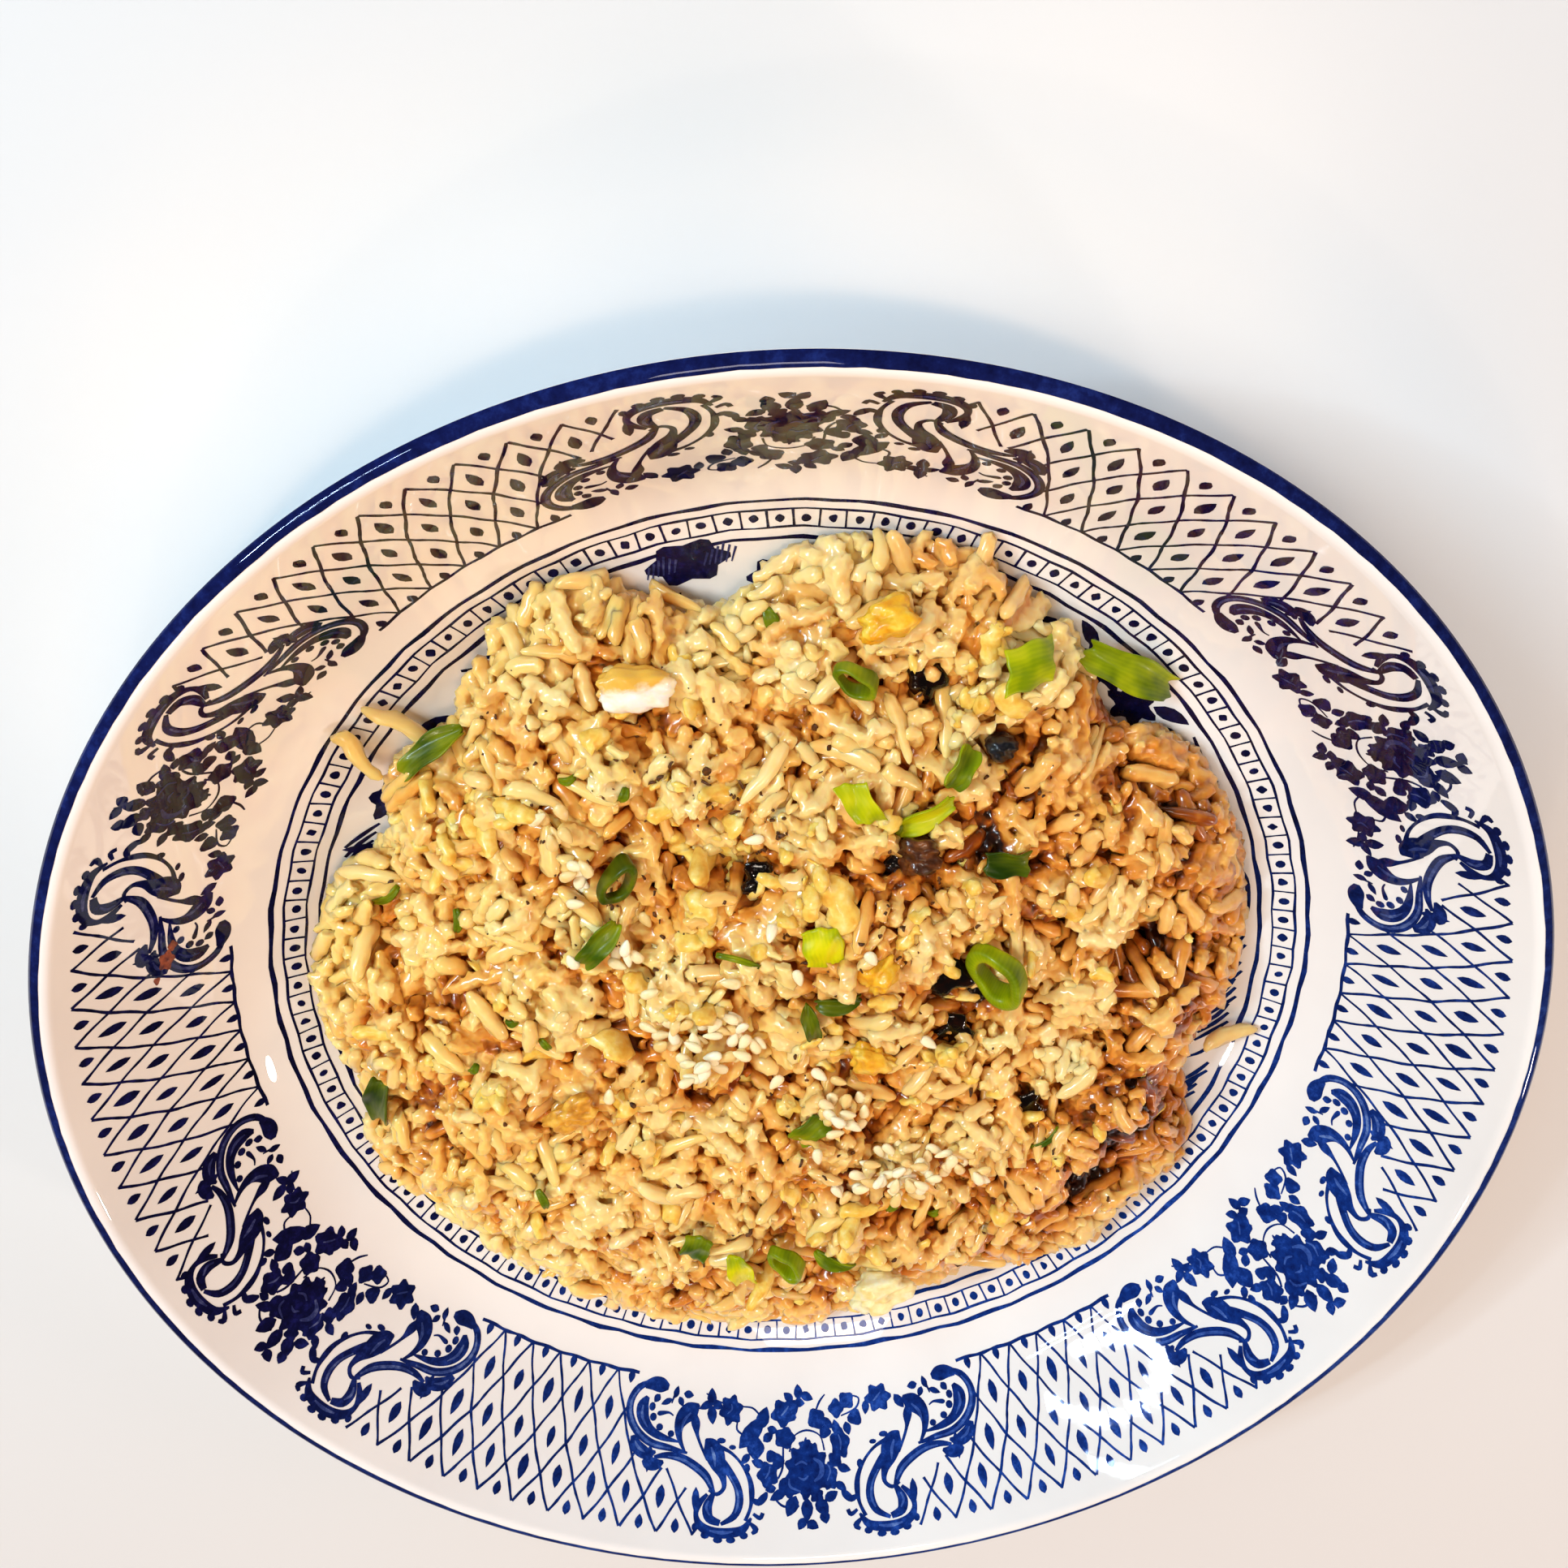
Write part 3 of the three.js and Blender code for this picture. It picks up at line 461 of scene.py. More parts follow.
SPRAY_LEAVES = (
    (-1.4, 56.0, 3.8, 2.2, 115), (0.2, 56.8, 4.0, 2.0, 92), (1.8, 56.4, 3.4, 2.2, 60), (-0.4, 59.4, 2.3, 1.5, 120),
    (0.7, 59.7, 2.3, 1.6, 30), (2.0, 58.4, 2.2, 1.7, 80), (2.8, 54.4, 2.8, 1.7, -30), (-2.8, 53.8, 3.4, 1.7, 150),
    (-2.2, 51.8, 3.0, 1.8, 120), (-5.7, 41.4, 7.6, 3.0, -50), (-4.5, 38.6, 4.2, 2.4, -70), (-3.9, 42.4, 2.4, 1.6, -40),
    (-3.4, 41.0, 2.2, 1.4, 20), (2.9, 40.0, 3.0, 1.6, 40), (3.9, 41.0, 2.8, 1.6, -100), (-0.9, 36.8, 3.2, 1.7, 95),
    (-0.2, 35.6, 2.2, 1.6, 10), (0.7, 34.4, 2.8, 1.6, 25), (-0.3, 33.4, 2.8, 1.7, -95), (-1.5, 34.4, 2.4, 1.5, -140),
    (-10.5, 38.4, 3.4, 1.8, 80), (-11.3, 36.6, 3.0, 1.4, 150), (-10.7, 34.8, 3.2, 1.8, -95), (-9.9, 36.4, 2.4, 1.5, 20),
    (11.6, 37.4, 3.0, 1.6, 60), (-5.0, 47.6, 2.6, 1.5, 200), (4.4, 49.2, 2.6, 1.5, 20), (7.6, 37.6, 2.6, 1.4, 100),
    (5.2, 41.4, 2.4, 1.5, 80), (-6.4, 46.8, 2.4, 1.3, 130), (3.9, 52.6, 2.4, 1.4, 40), (-3.6, 52.6, 2.0, 1.4, 170),
)
SPRAY_STEMS = (
    ((-7.4, 38.6, 0.3), (-7.5, 41.0, 0.45), (-6.6, 42.2, 0.4)),
    ((-7.0, 36.4, 0.3), (-5.8, 36.6, 0.4), (-5.0, 37.8, 0.4)),
    ((-1.5, 45.4, 0.4), (-1.0, 42.4, 0.3), (0.5, 41.2, 0.45), (2.0, 42.4, 0.3), (2.4, 45.4, 0.4)),
    ((4.6, 38.8, 0.3), (6.4, 37.6, 0.45), (6.9, 35.6, 0.4), (5.8, 34.8, 0.3)),
    ((1.7, 37.4, 0.4), (2.2, 35.6, 0.5), (2.9, 34.2, 0.3)),
    ((-9.0, 36.0, 0.3), (-10.2, 35.4, 0.4), (-11.4, 34.2, 0.3)),
    ((-3.0, 54.8, 0.4), (-2.2, 56.0, 0.5), (-0.6, 56.0, 0.4)),
    ((-2.8, 50.6, 0.4), (-2.3, 48.4, 0.5), (-2.2, 44.2, 0.4)),
    ((0.1, 45.6, 0.9), (0.3, 43.6, 0.7), (0.4, 42.6, 0.3)),
    ((0.3, 55.0, 0.4), (0.2, 58.0, 0.4), (0.2, 60.4, 0.3)),
)
SPRAY_PALE = (
    ((1.1, 46.8, 0.4), (1.9, 48.0, 0.9), (1.9, 50.0, 1.0), (1.1, 51.4, 0.4)),
    ((-1.6, 50.6, 0.3), (-1.5, 52.2, 0.5), (-0.4, 53.2, 0.3)), ((-0.9, 48.0, 0.3), (-0.2, 47.4, 0.5), (0.4, 48.0, 0.3)),
    ((-0.6, 50.4, 0.2), (0.0, 50.9, 0.5), (0.5, 50.2, 0.2)), ((2.5, 51.4, 0.2), (2.9, 49.4, 0.4), (2.6, 48.0, 0.2)),
    ((-4.2, 50.6, 0.2), (-3.8, 49.4, 0.4), (-3.7, 48.2, 0.2)), ((4.2, 45.6, 0.2), (4.3, 44.0, 0.45), (4.1, 42.4, 0.2)),
    ((-8.7, 38.0, 0.2), (-8.2, 37.0, 0.4), (-8.3, 36.0, 0.2)), ((-2.4, 38.2, 0.2), (-1.9, 37.2, 0.4),
     (-1.5, 36.2, 0.2)),
    ((8.6, 36.6, 0.2), (9.1, 35.8, 0.4), (9.6, 35.0, 0.2)),
)
bm, pale = bmesh.new(), bmesh.new()
for u, v, wide, tall, lobes, depth, turn in SPRAY_BLOOMS:
    draw_lobes(bm, u, v, 1.12 * wide, 1.12 * tall, lobes, depth, turn)
for u, v, length, width, turn in SPRAY_LEAVES:
    draw_leaf(bm, u, v, 1.15 * length, 1.25 * width, turn)
for points in SPRAY_STEMS:
    draw_stroke(bm, points)
for points in SPRAY_PALE:
    draw_stroke(pale, points)
wrap_print(bm, "print_flower_sprays", sixths)
wrap_print(pale, "print_spray_washes", sixths, pale_ink, WASH_LIFT)

# The middle of the well carries foliage, mostly under the rice: dark flowers and torn leaves, and hatching between.
bm, pale = bmesh.new(), bmesh.new()
for bloom in (
    (97.6, 13.2, 19, 9.5, 6, 0.25, 0), (107, 7.6, 13, 6, 5, 0.3, 0), (88, 8, 14, 8, 6, 0.3, 0),
    (46.5, 9.6, 19, 8.5, 7, 0.4, 0),
    (39.5, 8.4, 15, 8.5, 6, 0.4, 20), (32.5, 7.5, 15, 8, 5, 0.35, 0), (26.5, 4.6, 11, 7, 5, 0.3, 0),
    (7.5, 10.6, 6, 4, 4, 0.3, 0),
    (57, 8.6, 17, 9, 7, 0.35, 30), (68, 8.0, 15, 8, 6, 0.3, 0), (-18, 5.0, 9, 5, 5, 0.3, 0),
    (-34, 8.0, 15, 8, 6, 0.35, 0),
):
    draw_lobes(bm, *bloom)
for leaf in (
    (43.5, 13.2, 8, 2.8, 30), (35.5, 12.6, 9, 3.0, 160), (50.5, 13.4, 8, 2.6, 20), (-7.5, 4.8, 9, 2.4, 20),
    (77, 10, 12, 4, 30),
    (102, 4.5, 12, 4, 150), (-28, 4.5, 10, 3.4, 60), (18, 3.5, 12, 4, 20),
):
    draw_leaf(bm, *leaf)
for k in range(10):
    draw_lobes(bm, 126 + 20 * k, 7.5 + 1.5 * math.sin(2.0 * k), 15, 8, 5 + k % 3, 0.35, 40 * k)
    draw_leaf(bm, 134 + 20 * k, 9.5 - math.sin(1.4 * k), 11, 3.6, 25 + 50 * k)
for first, last, number, low, high in (
    (9.5, 22.5, 12, 7.4, 13.4), (-17.0, -3.5, 11, 8.8, 13.6), (-29.0, -24.0, 5, 10.2, 13.8), (60, 72, 10, 11, 14.5),
    (110, 122, 10, 8, 13.5), (150, 162, 10, 9, 13.5), (230, 244, 10, 9, 13.5), (290, 304, 10, 9, 13.5),
):
    for n, at in enumerate(np.linspace(first, last, number)):
        end = (at + 4.4, high - 0.5 * (n % 3), 0.6)
        draw_stroke(bm, [(at, low, 0.5), (at + 2.2, (low + high) / 2, 0.95), end], 2)
for points in (
    ((2.5, 8.5, 0.5), (3.6, 12.6, 1.1), (6.5, 13.8, 0.9), (10.5, 13.2, 1.0), (12.0, 9.0, 0.5)),
    ((26.0, 9.0, 0.4), (28.0, 12.4, 0.9), (31.5, 13.6, 0.5)), ((-20.5, 8.0, 0.3), (-18.5, 11.0, 0.8),
     (-16.0, 12.6, 0.3)),
):
    draw_stroke(bm, points)
for at, low, high in ((100.9, 11.6, 15.4), (94.4, 11.8, 15.8), (47.5, 9.5, 12.0)):
    for n in range(6):
        across = 0.62 * (n - 2.5)
        draw_stroke(pale, [(at + across, low, 0.35), (at - 0.7 + across, high - 0.5 * abs(n - 2), 0.55)], 2)
wrap_print(bm, "print_well_foliage")
wrap_print(pale, "print_well_hatching", material=pale_ink, lift=WASH_LIFT)

# The painted lip: a blue band over the roll, with a hand-lined inner edge.
bm = bmesh.new()
turns = np.arange(0, 360, 1.25)
hand_lined = s_top + LIP_R * WALL - 0.25 + WAVER * np.sin(np.radians(turns * 3)) + WAVER * rng.random(len(turns))
rings = []
for at, inner_edge in zip(turns, hand_lined):
    rings.append([bm.verts.new((at, s, 0)) for s in np.linspace(inner_edge, s_end, 9)])
for a, b in zip(rings, rings[1:] + rings[:1]):
    for j in range(8):
        bm.faces.new((a[j], b[j], b[j + 1], a[j + 1]))
lip_paint = cobalt("cobalt_lip_under_glaze", ("#0a0e34", "#10184a", "#1a2866"), ("#122058", "#1c3276", "#304c94"))
wrap_print(bm, "print_blue_lip", material=lip_paint)

# A smear of sauce on the wall at the left, dried to a thin red-brown film that is darker where it lies thicker.
stain_paint, tree, shader, where = new_material("dried_sauce_film", Roughness=0.25, Coat_Weight=0.3)
film = add_node(tree, "TexNoise", Vector=where, Scale=500.0, Detail=3.0)
SAUCE_BROWNS = (0.35, "#4a1408"), (0.65, "#a8522a")
add_node(tree, "ValToRGB", {"ramp": SAUCE_BROWNS}, shader.inputs["Base Color"], Fac=film)
bm = bmesh.new()
draw_lobes(bm, 164.4, 44.7, 4.6, 3.4, 5, 0.3, 20)
draw_lobes(bm, 163.0, 43.6, 2.4, 2.0, 4, 0.3)
draw_lobes(bm, 166.2, 46.6, 1.8, 1.4, 3, 0.3)
wrap_print(bm, "sauce_smear", material=stain_paint, lift=0.1)


# ---- Rice heap ----
# Long-grain rice, boiled and then fried in oil with egg and soy sauce, in a low heap. The grains, some whole and many
# broken, stick to each other in clumps a thumb wide with deep gaps between them. Here they are dropped at random and
# pushed apart until they lie on one another, and all but the loose ones on top are fused into a mass and clumps.
HEAP_R = 86.0
# Where the outline swells or draws in: its direction in degrees, how far, and how wide.
OUTLINE_LOBES = (
    (72, 7, 14), (43, -8, 7), (-15, -8, 11), (-33, 5, 7), (-52, 4, 9), (-74, -6, 8), (-108, 4, 10),
    (-135, 3, 14), (-158, 6, 8), (172, 4, 12), (149, -6, 5), (131, -4, 5), (113, 7, 9), (95, -8, 6),
)
# Where the heap rises or dips: place, radius and height.
CLUMPS = (
    (-40, 72, 15, 4.5), (24, 76, 17, 4), (50, 58, 12, 3), (74, 28, 12, 4), (64, -16, 13, 3.5), (4, 28, 16, 2),
    (-62, 2, 17, 3), (-60, -36, 15, 3), (44, -36, 16, 3.5), (-20, -44, 17, 2.5), (12, -62, 12, 3), (-57, 42, 12, 3),
    (28, 9, 5, -9), (35, 1, 4, -7), (28, -3, 3.5, -6), (21, 35, 5.5, -8), (-4, 33, 4, -8), (-11, 37, 3.5, -5),
    (-12, 27, 3, -5), (2, -4, 3, -5), (42, -22, 4, -6), (38, 53, 5, -6), (26, 66, 4, -5), (-21, 65, 4, -5),
    (6, 48, 4, -4), (63, 8, 5, -6), (-72, 24, 5, -5), (58, -44, 6, -5), (14, 68, 5, -4), (50, -8, 4, -5),
)
EDGE_RISE = 2.6
SHOULDER, SHOULDER_RISE = 14.0, 8.0  # width and height of the heap's rounded shoulder
DOME_R, DOME_RISE = 92.0, 13.5
SLOPE_SPAN = 4.7  # the heap's slope is taken over this far on each side
CORE_DEPTH = 5.0  # of the core under the surface
GRAINS = 3300
BITS = 400


def heap_edge(angle):
    """Radius of the heap's outline in a direction."""
    turn = np.degrees(angle)
    edge = np.full(np.shape(turn), HEAP_R)
    for at, out, width in OUTLINE_LOBES:
        edge = edge + out * np.exp(-((((turn - at + 180) % 360 - 180) / width) ** 2))
    return edge


def heap_top(x, y):
    """Height of the heap's surface, without its grains' unevenness."""
    x, y = np.asarray(x, float), np.asarray(y, float)
    r = np.hypot(x, y)
    edge = heap_edge(np.arctan2(y, x))
    shoulder = np.sqrt(np.clip((edge - r) / SHOULDER, 0, 1))
    clumps = sum(h * np.exp(-((x - cx) ** 2 + (y - cy) ** 2) / rad**2) for cx, cy, rad, h in CLUMPS)
    dome = np.maximum(0, 1 - (r / DOME_R) ** 2)
    ground = plate_height(np.minimum(r, edge))
    return ground + EDGE_RISE + SHOULDER_RISE * shoulder + DOME_RISE * dome + clumps * shoulder


def heap_normal(x, y):
    """Upward direction of the heap at a place."""
    gx = (heap_top(x + SLOPE_SPAN, y) - heap_top(x - SLOPE_SPAN, y)) / (2 * SLOPE_SPAN)
    gy = (heap_top(x, y + SLOPE_SPAN) - heap_top(x, y - SLOPE_SPAN)) / (2 * SLOPE_SPAN)
    n = np.stack([-gx, -gy, np.ones_like(gx)], -1)
    return n / np.linalg.norm(n, axis=-1, keepdims=True)


def box_of(node):
    """Middle in plan, lowest and highest point of a node of the frame, in mm."""
    low, high = (Vector(corner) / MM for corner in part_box(node))
    return (low.x + high.x) / 2, (low.y + high.y) / 2, low.z, high.z


# The pieces that lie on the heap, each in a bed among the top grains: the bed's length, width and turn in degrees.
LAID = {
    "onion_leaf_long": (19, 6.5, -30), "onion_square_upper": (9.5, 7.5, 8), "onion_tube_small": (8, 4.6, 52),
    "onion_flake_middle": (8, 5.2, -62), "onion_strip_middle": (12, 4.6, 27), "onion_dark_right": (8, 4.6, -8),
    "onion_strip_left": (11, 4.4, 48), "onion_square_centre": (8, 7, -84), "onion_curl_centre": (8, 3.6, 4),
    "onion_curl_dark": (8, 3.2, -80), "onion_chip_lower": (7.5, 5, 38), "onion_dark_lower": (7.5, 5.6, 70),
    "onion_bright_lower": (11, 5, -82), "onion_curl_lower": (9, 3.4, -30), "onion_olive_left": (14, 5, 34),
    "onion_dark_edge": (13, 6, 72), "onion_curl_upper": (7.5, 5.5, -20), "onion_loop_left": (10.5, 6.5, 62),
    "onion_ring_big": (13.5, 11, -52), "onion_ring_lower": (8.5, 6.5, -60), "egg_white": (12, 7.5, -6),
    "egg_yolk_upper": (9, 6, 20), "egg_yolk_centre": (8, 6, 70), "egg_flake_lower": (8.5, 6.5, -35),
    "egg_pale_lower": (13, 8.5, 15), "egg_brown_left": (9, 6, 35), "brown_lump_upper": (8, 6.5, 10),
    "black_bean": (5.5, 4.8, 0),
}

# A square grid over the heap holds what is worked out in plan: its cell's size, and its cells each way from the middle.
CELL = 0.5
HALF = 200
grid = (np.arange(2 * HALF + 1) - HALF) * CELL
grid_x, grid_y = np.meshgrid(grid, grid, indexing="ij")


def cell_of(x):
    """The grid's row or column at a place."""
    return np.rint(x / CELL).astype(int) + HALF


def read_grid(field, x, y):
    """The field's value at a place."""
    i, j = (np.clip(cell_of(np.asarray(v)), 0, 2 * HALF) for v in (x, y))
    return field[i, j]


def soften(field, cells):
    """The field averaged over a square of that many cells each way."""
    for k in (0, 1):
        field = sum(np.roll(field, s, k) for s in range(-cells, cells + 1)) / (2 * cells + 1)
    return field


# Clumps: each is a low dome about its own centre, and meets the next in a groove.
CLUMP_SPACING = 16.0
CLUMP_R, CLUMP_RISE = 9.0, 1.5
GROOVE_DEPTH, GROOVE_WIDTH = 4.0, 2.9
rng = np.random.default_rng(2024)
clump_at = []
for row in range(-6, 7):
    for column in range(-6, 7):
        at = np.array([(column + 0.5 * (row % 2)) * CLUMP_SPACING, row * CLUMP_SPACING * 0.87])
        clump_at.append(at + rng.uniform(-0.42, 0.42, 2) * CLUMP_SPACING)
clump_rise = rng.normal(0, 1.5, len(clump_at))
clump_shade = rng.normal(0, 0.07, len(clump_at))
clump_lie = rng.uniform(0, math.pi, len(clump_at))
nearest = np.full(grid_x.shape, 1e3)
second = np.full(grid_x.shape, 1e3)
own_clump = np.zeros(grid_x.shape, int)
for k, at in enumerate(clump_at):
    d = np.hypot(grid_x - at[0], grid_y - at[1])
    closer = d < nearest
    second = np.where(closer, nearest, np.minimum(second, d))
    own_clump = np.where(closer, k, own_clump)
    nearest = np.where(closer, d, nearest)
groove = np.exp(-(((second - nearest) / GROOVE_WIDTH) ** 2))
relief = soften(clump_rise[own_clump], 4) + CLUMP_RISE * (1 - (nearest / CLUMP_R) ** 2) - GROOVE_DEPTH * groove
edge_gap = heap_edge(np.arctan2(grid_y, grid_x)) - np.hypot(grid_x, grid_y)
roof = heap_top(grid_x, grid_y) + np.clip(edge_gap / 8, 0.25, 1) * soften(relief, 1)

# Grains are laid up to the ceiling, which is lower in the beds.
BED_MARGIN = 0.6
ceiling = roof + 0.5
beds = np.zeros(ceiling.shape, bool)
for node, (long, wide, turn) in LAID.items():
    x, y, low, _ = box_of(node)
    c, s = math.cos(math.radians(turn)), math.sin(math.radians(turn))
    a = ((grid_x - x) * c + (grid_y - y) * s) / (long / 2 + BED_MARGIN)
    b = ((grid_y - y) * c - (grid_x - x) * s) / (wide / 2 + BED_MARGIN)
    under_it = a**2 + b**2 < 1.15
    n = heap_normal(x, y)
    plane = low + 1.0 - (n[0] * (grid_x - x) + n[1] * (grid_y - y)) / n[2]
    ceiling = np.where(under_it, np.minimum(ceiling, plane), ceiling)
    beds |= under_it

# Sizes of the grains: more than half are whole, the rest are broken, and the bits are broken small.
kind = rng.random(GRAINS)
whole_length, middling, broken = (rng.uniform(*span, GRAINS) for span in ((9.5, 14.0), (6.5, 9.5), (4.2, 6.5)))
length = np.where(kind < 0.55, whole_length, np.where(kind < 0.8, middling, broken))
girth = rng.uniform(2.7, 3.7, GRAINS)
length = np.concatenate([length, rng.uniform(2.0, 4.4, BITS)])
girth = np.concatenate([girth, rng.uniform(1.6, 3.0, BITS)])
count = GRAINS + BITS
is_grain = np.arange(count) < GRAINS

# Their places under the ceiling. In a clump, many point the same way.
angle = rng.uniform(0, 2 * math.pi, count)
radius = np.sqrt(rng.random(count)) * (heap_edge(angle) - 1.0)
plan = np.stack([radius * np.cos(angle), radius * np.sin(angle)])
up = heap_normal(*plan)
depth = np.where(is_grain, rng.uniform(0.8, CORE_DEPTH, count), rng.uniform(0.3, 3.0, count))
centre = np.column_stack([*plan, read_grid(ceiling, *plan) - depth])
lie = clump_lie[read_grid(own_clump, *plan)] + rng.normal(0, 0.55, count)
lie = np.where(rng.random(count) < 0.6, lie, rng.uniform(0, math.pi, count))
axis = np.stack([np.cos(lie), np.sin(lie), np.zeros(count)], 1)
axis -= (axis * up).sum(1)[:, None] * up
axis += rng.normal(0, 0.33, count)[:, None] * up
axis /= np.linalg.norm(axis, axis=1)[:, None]

# A grain meets its neighbours as four balls along its axis, a little slimmer than the grain, as they are pressed
# together.
BALL_SIZE = 0.42  # a ball's radius in girths
place_on_axis = np.array([-1, -0.34, 0.34, 1.0])
owner = np.repeat(np.arange(count), 4)


def ball_sizes():
    """Radius of a grain's balls, how far the end ones are from its middle, and these for each ball."""
    ball_r = BALL_SIZE * girth
    half_axis = np.maximum(length / 2 - ball_r, 0.05)[:, None]
    return ball_r, half_axis, half_axis * place_on_axis, np.repeat(ball_r, 4)


def balls_of_grains():
    """Where the balls of all the grains are."""
    return (centre[:, None] + axis[:, None] * reach[:, :, None]).reshape(-1, 3)


def close_pairs(points, radius):
    """Pairs of balls of different grains within that distance, found by sorting them into cubes."""
    key = np.floor(points / radius).astype(np.int64) + 200
    code = (key[:, 0] * 1000 + key[:, 1]) * 1000 + key[:, 2]
    order = np.argsort(code, kind="stable")
    ranked = code[order]
    found = []
    steps = (-1, 0, 1)
    for shift in [(dx * 1000 + dy) * 1000 + dz for dx in steps for dy in steps for dz in steps]:
        if shift < 0:
            continue
        first = np.searchsorted(ranked, code + shift, "left")
        number = np.searchsorted(ranked, code + shift, "right") - first
        a = np.repeat(np.arange(len(points)), number)
        offset = np.arange(number.sum()) - np.repeat(np.cumsum(number) - number, number)
        b = order[np.repeat(first, number) + offset]
        keep = owner[a] != owner[b]
        if shift == 0:
            keep &= a < b
        a, b = a[keep], b[keep]
        near = ((points[a] - points[b]) ** 2).sum(1) < radius**2
        found.append((a[near], b[near]))
    return (np.concatenate(side) for side in zip(*found))


# The grains settle: balls that overlap push their grains apart and round, and ceiling, core and outline hold them in.
SETTLING = 56
ball_r, half_axis, reach, ball_of = ball_sizes()
for step in range(SETTLING):
    balls = balls_of_grains()
    if step % 7 == 0:
        pair_a, pair_b = close_pairs(balls, 4.4)
    gap = balls[pair_a] - balls[pair_b]
    distance = np.linalg.norm(gap, axis=1) + 1e-6
    overlap = ball_of[pair_a] + ball_of[pair_b] - distance
    touch = overlap > 0
    a, b = pair_a[touch], pair_b[touch]
    push = gap[touch] / distance[touch][:, None] * (0.5 * overlap[touch])[:, None]
    move = np.zeros_like(balls)
    for k in range(3):
        move[:, k] = np.bincount(a, push[:, k], len(balls)) - np.bincount(b, push[:, k], len(balls))
    move *= 0.5
    x, y, z = balls.T
    r = np.hypot(x, y)
    high = read_grid(ceiling, x, y) - 0.7 * ball_of
    low = np.maximum(plate_height(r) + 0.3 + ball_of, high - CORE_DEPTH)
    move[:, 2] += 0.5 * np.maximum(low - z, 0) - 0.4 * np.maximum(z - np.maximum(high, low), 0)
    move[:, 2] -= 0.03
    out = np.maximum(r - heap_edge(np.arctan2(y, x)) + ball_of * 0.5, 0)
    move[:, 0] -= 0.3 * out * x / np.maximum(r, 1)
    move[:, 1] -= 0.3 * out * y / np.maximum(r, 1)
    move = move.reshape(count, 4, 3)
    centre += move.mean(1) * 1.5
    twist = (move * reach[:, :, None]).sum(1) / ((reach**2).sum(1)[:, None] + 2.0)
    axis += twist * 1.2
    axis /= np.linalg.norm(axis, axis=1)[:, None]

# A few long grains hang over the heap's edge: place, length, turn and rise in degrees.
OVERHANGS = (
    (-63.0, 63.5, 12.2, 13.5, 140, 10), (-70.5, 59.0, 11.6, 12.0, 118, 2), (-78.5, 30.0, 12.4, 10.5, 160, -8),
    (-80.5, -14.0, 12.0, 11.0, 195, -4), (84.5, -20.0, 12.0, 11.5, 15, -6), (-44.0, -76.0, 12.6, 10.0, 240, -6),
    (36.0, 84.0, 13.0, 11.0, 70, -4),
)
OVERHANG_GIRTH = 3.3
for n, (x, y, z, long, turn, rise) in enumerate(OVERHANGS):
    centre[n], length[n], girth[n] = (x, y, z), long, OVERHANG_GIRTH
    c, s = math.cos(math.radians(rise)), math.sin(math.radians(rise))
    axis[n] = (c * math.cos(math.radians(turn)), c * math.sin(math.radians(turn)), s)
ball_r, half_axis, reach, ball_of = ball_sizes()

# Grains that would reach into the plate are lifted onto it.
balls = balls_of_grains()
low = plate_height(np.hypot(balls[:, 0], balls[:, 1])) + 0.2 + ball_of * 1.22
centre[:, 2] += np.maximum(low - balls[:, 2], 0).reshape(count, 4).max(1)
balls = balls_of_grains()
plan = centre[:, :2].T

# The top of the laid grains on the grid, and the same without its gaps, from which the depth of a gap is read.
laid = np.full(ceiling.shape, -1e3)
for di in range(-3, 4):
    for dj in range(-3, 4):
        i, j = (np.clip(cell_of(balls[:, k]) + d, 0, 2 * HALF) for k, d in ((0, di), (1, dj)))
        off = (di * di + dj * dj) * CELL * CELL
        top = balls[:, 2] + np.sqrt(np.maximum(ball_of**2 - off, 0))
        np.maximum.at(laid, (i, j), np.where(off < ball_of**2, top, -1e3))
laid = np.maximum(laid, ceiling - CORE_DEPTH)
bridged = laid
for _ in range(9):
    for k in (0, 1):
        bridged = np.maximum(bridged, np.maximum(np.roll(bridged, 1, k), np.roll(bridged, -1, k)))
bridged = soften(bridged, 6)


def arrays_of(bm):
    """The points and faces of a small shape, facing outwards; its bmesh is freed."""
    bmesh.ops.recalc_face_normals(bm, faces=bm.faces)
    shape = np.array([v.co[:] for v in bm.verts]), [[v.index for v in f.verts] for f in bm.faces]
    bm.free()
    return shape


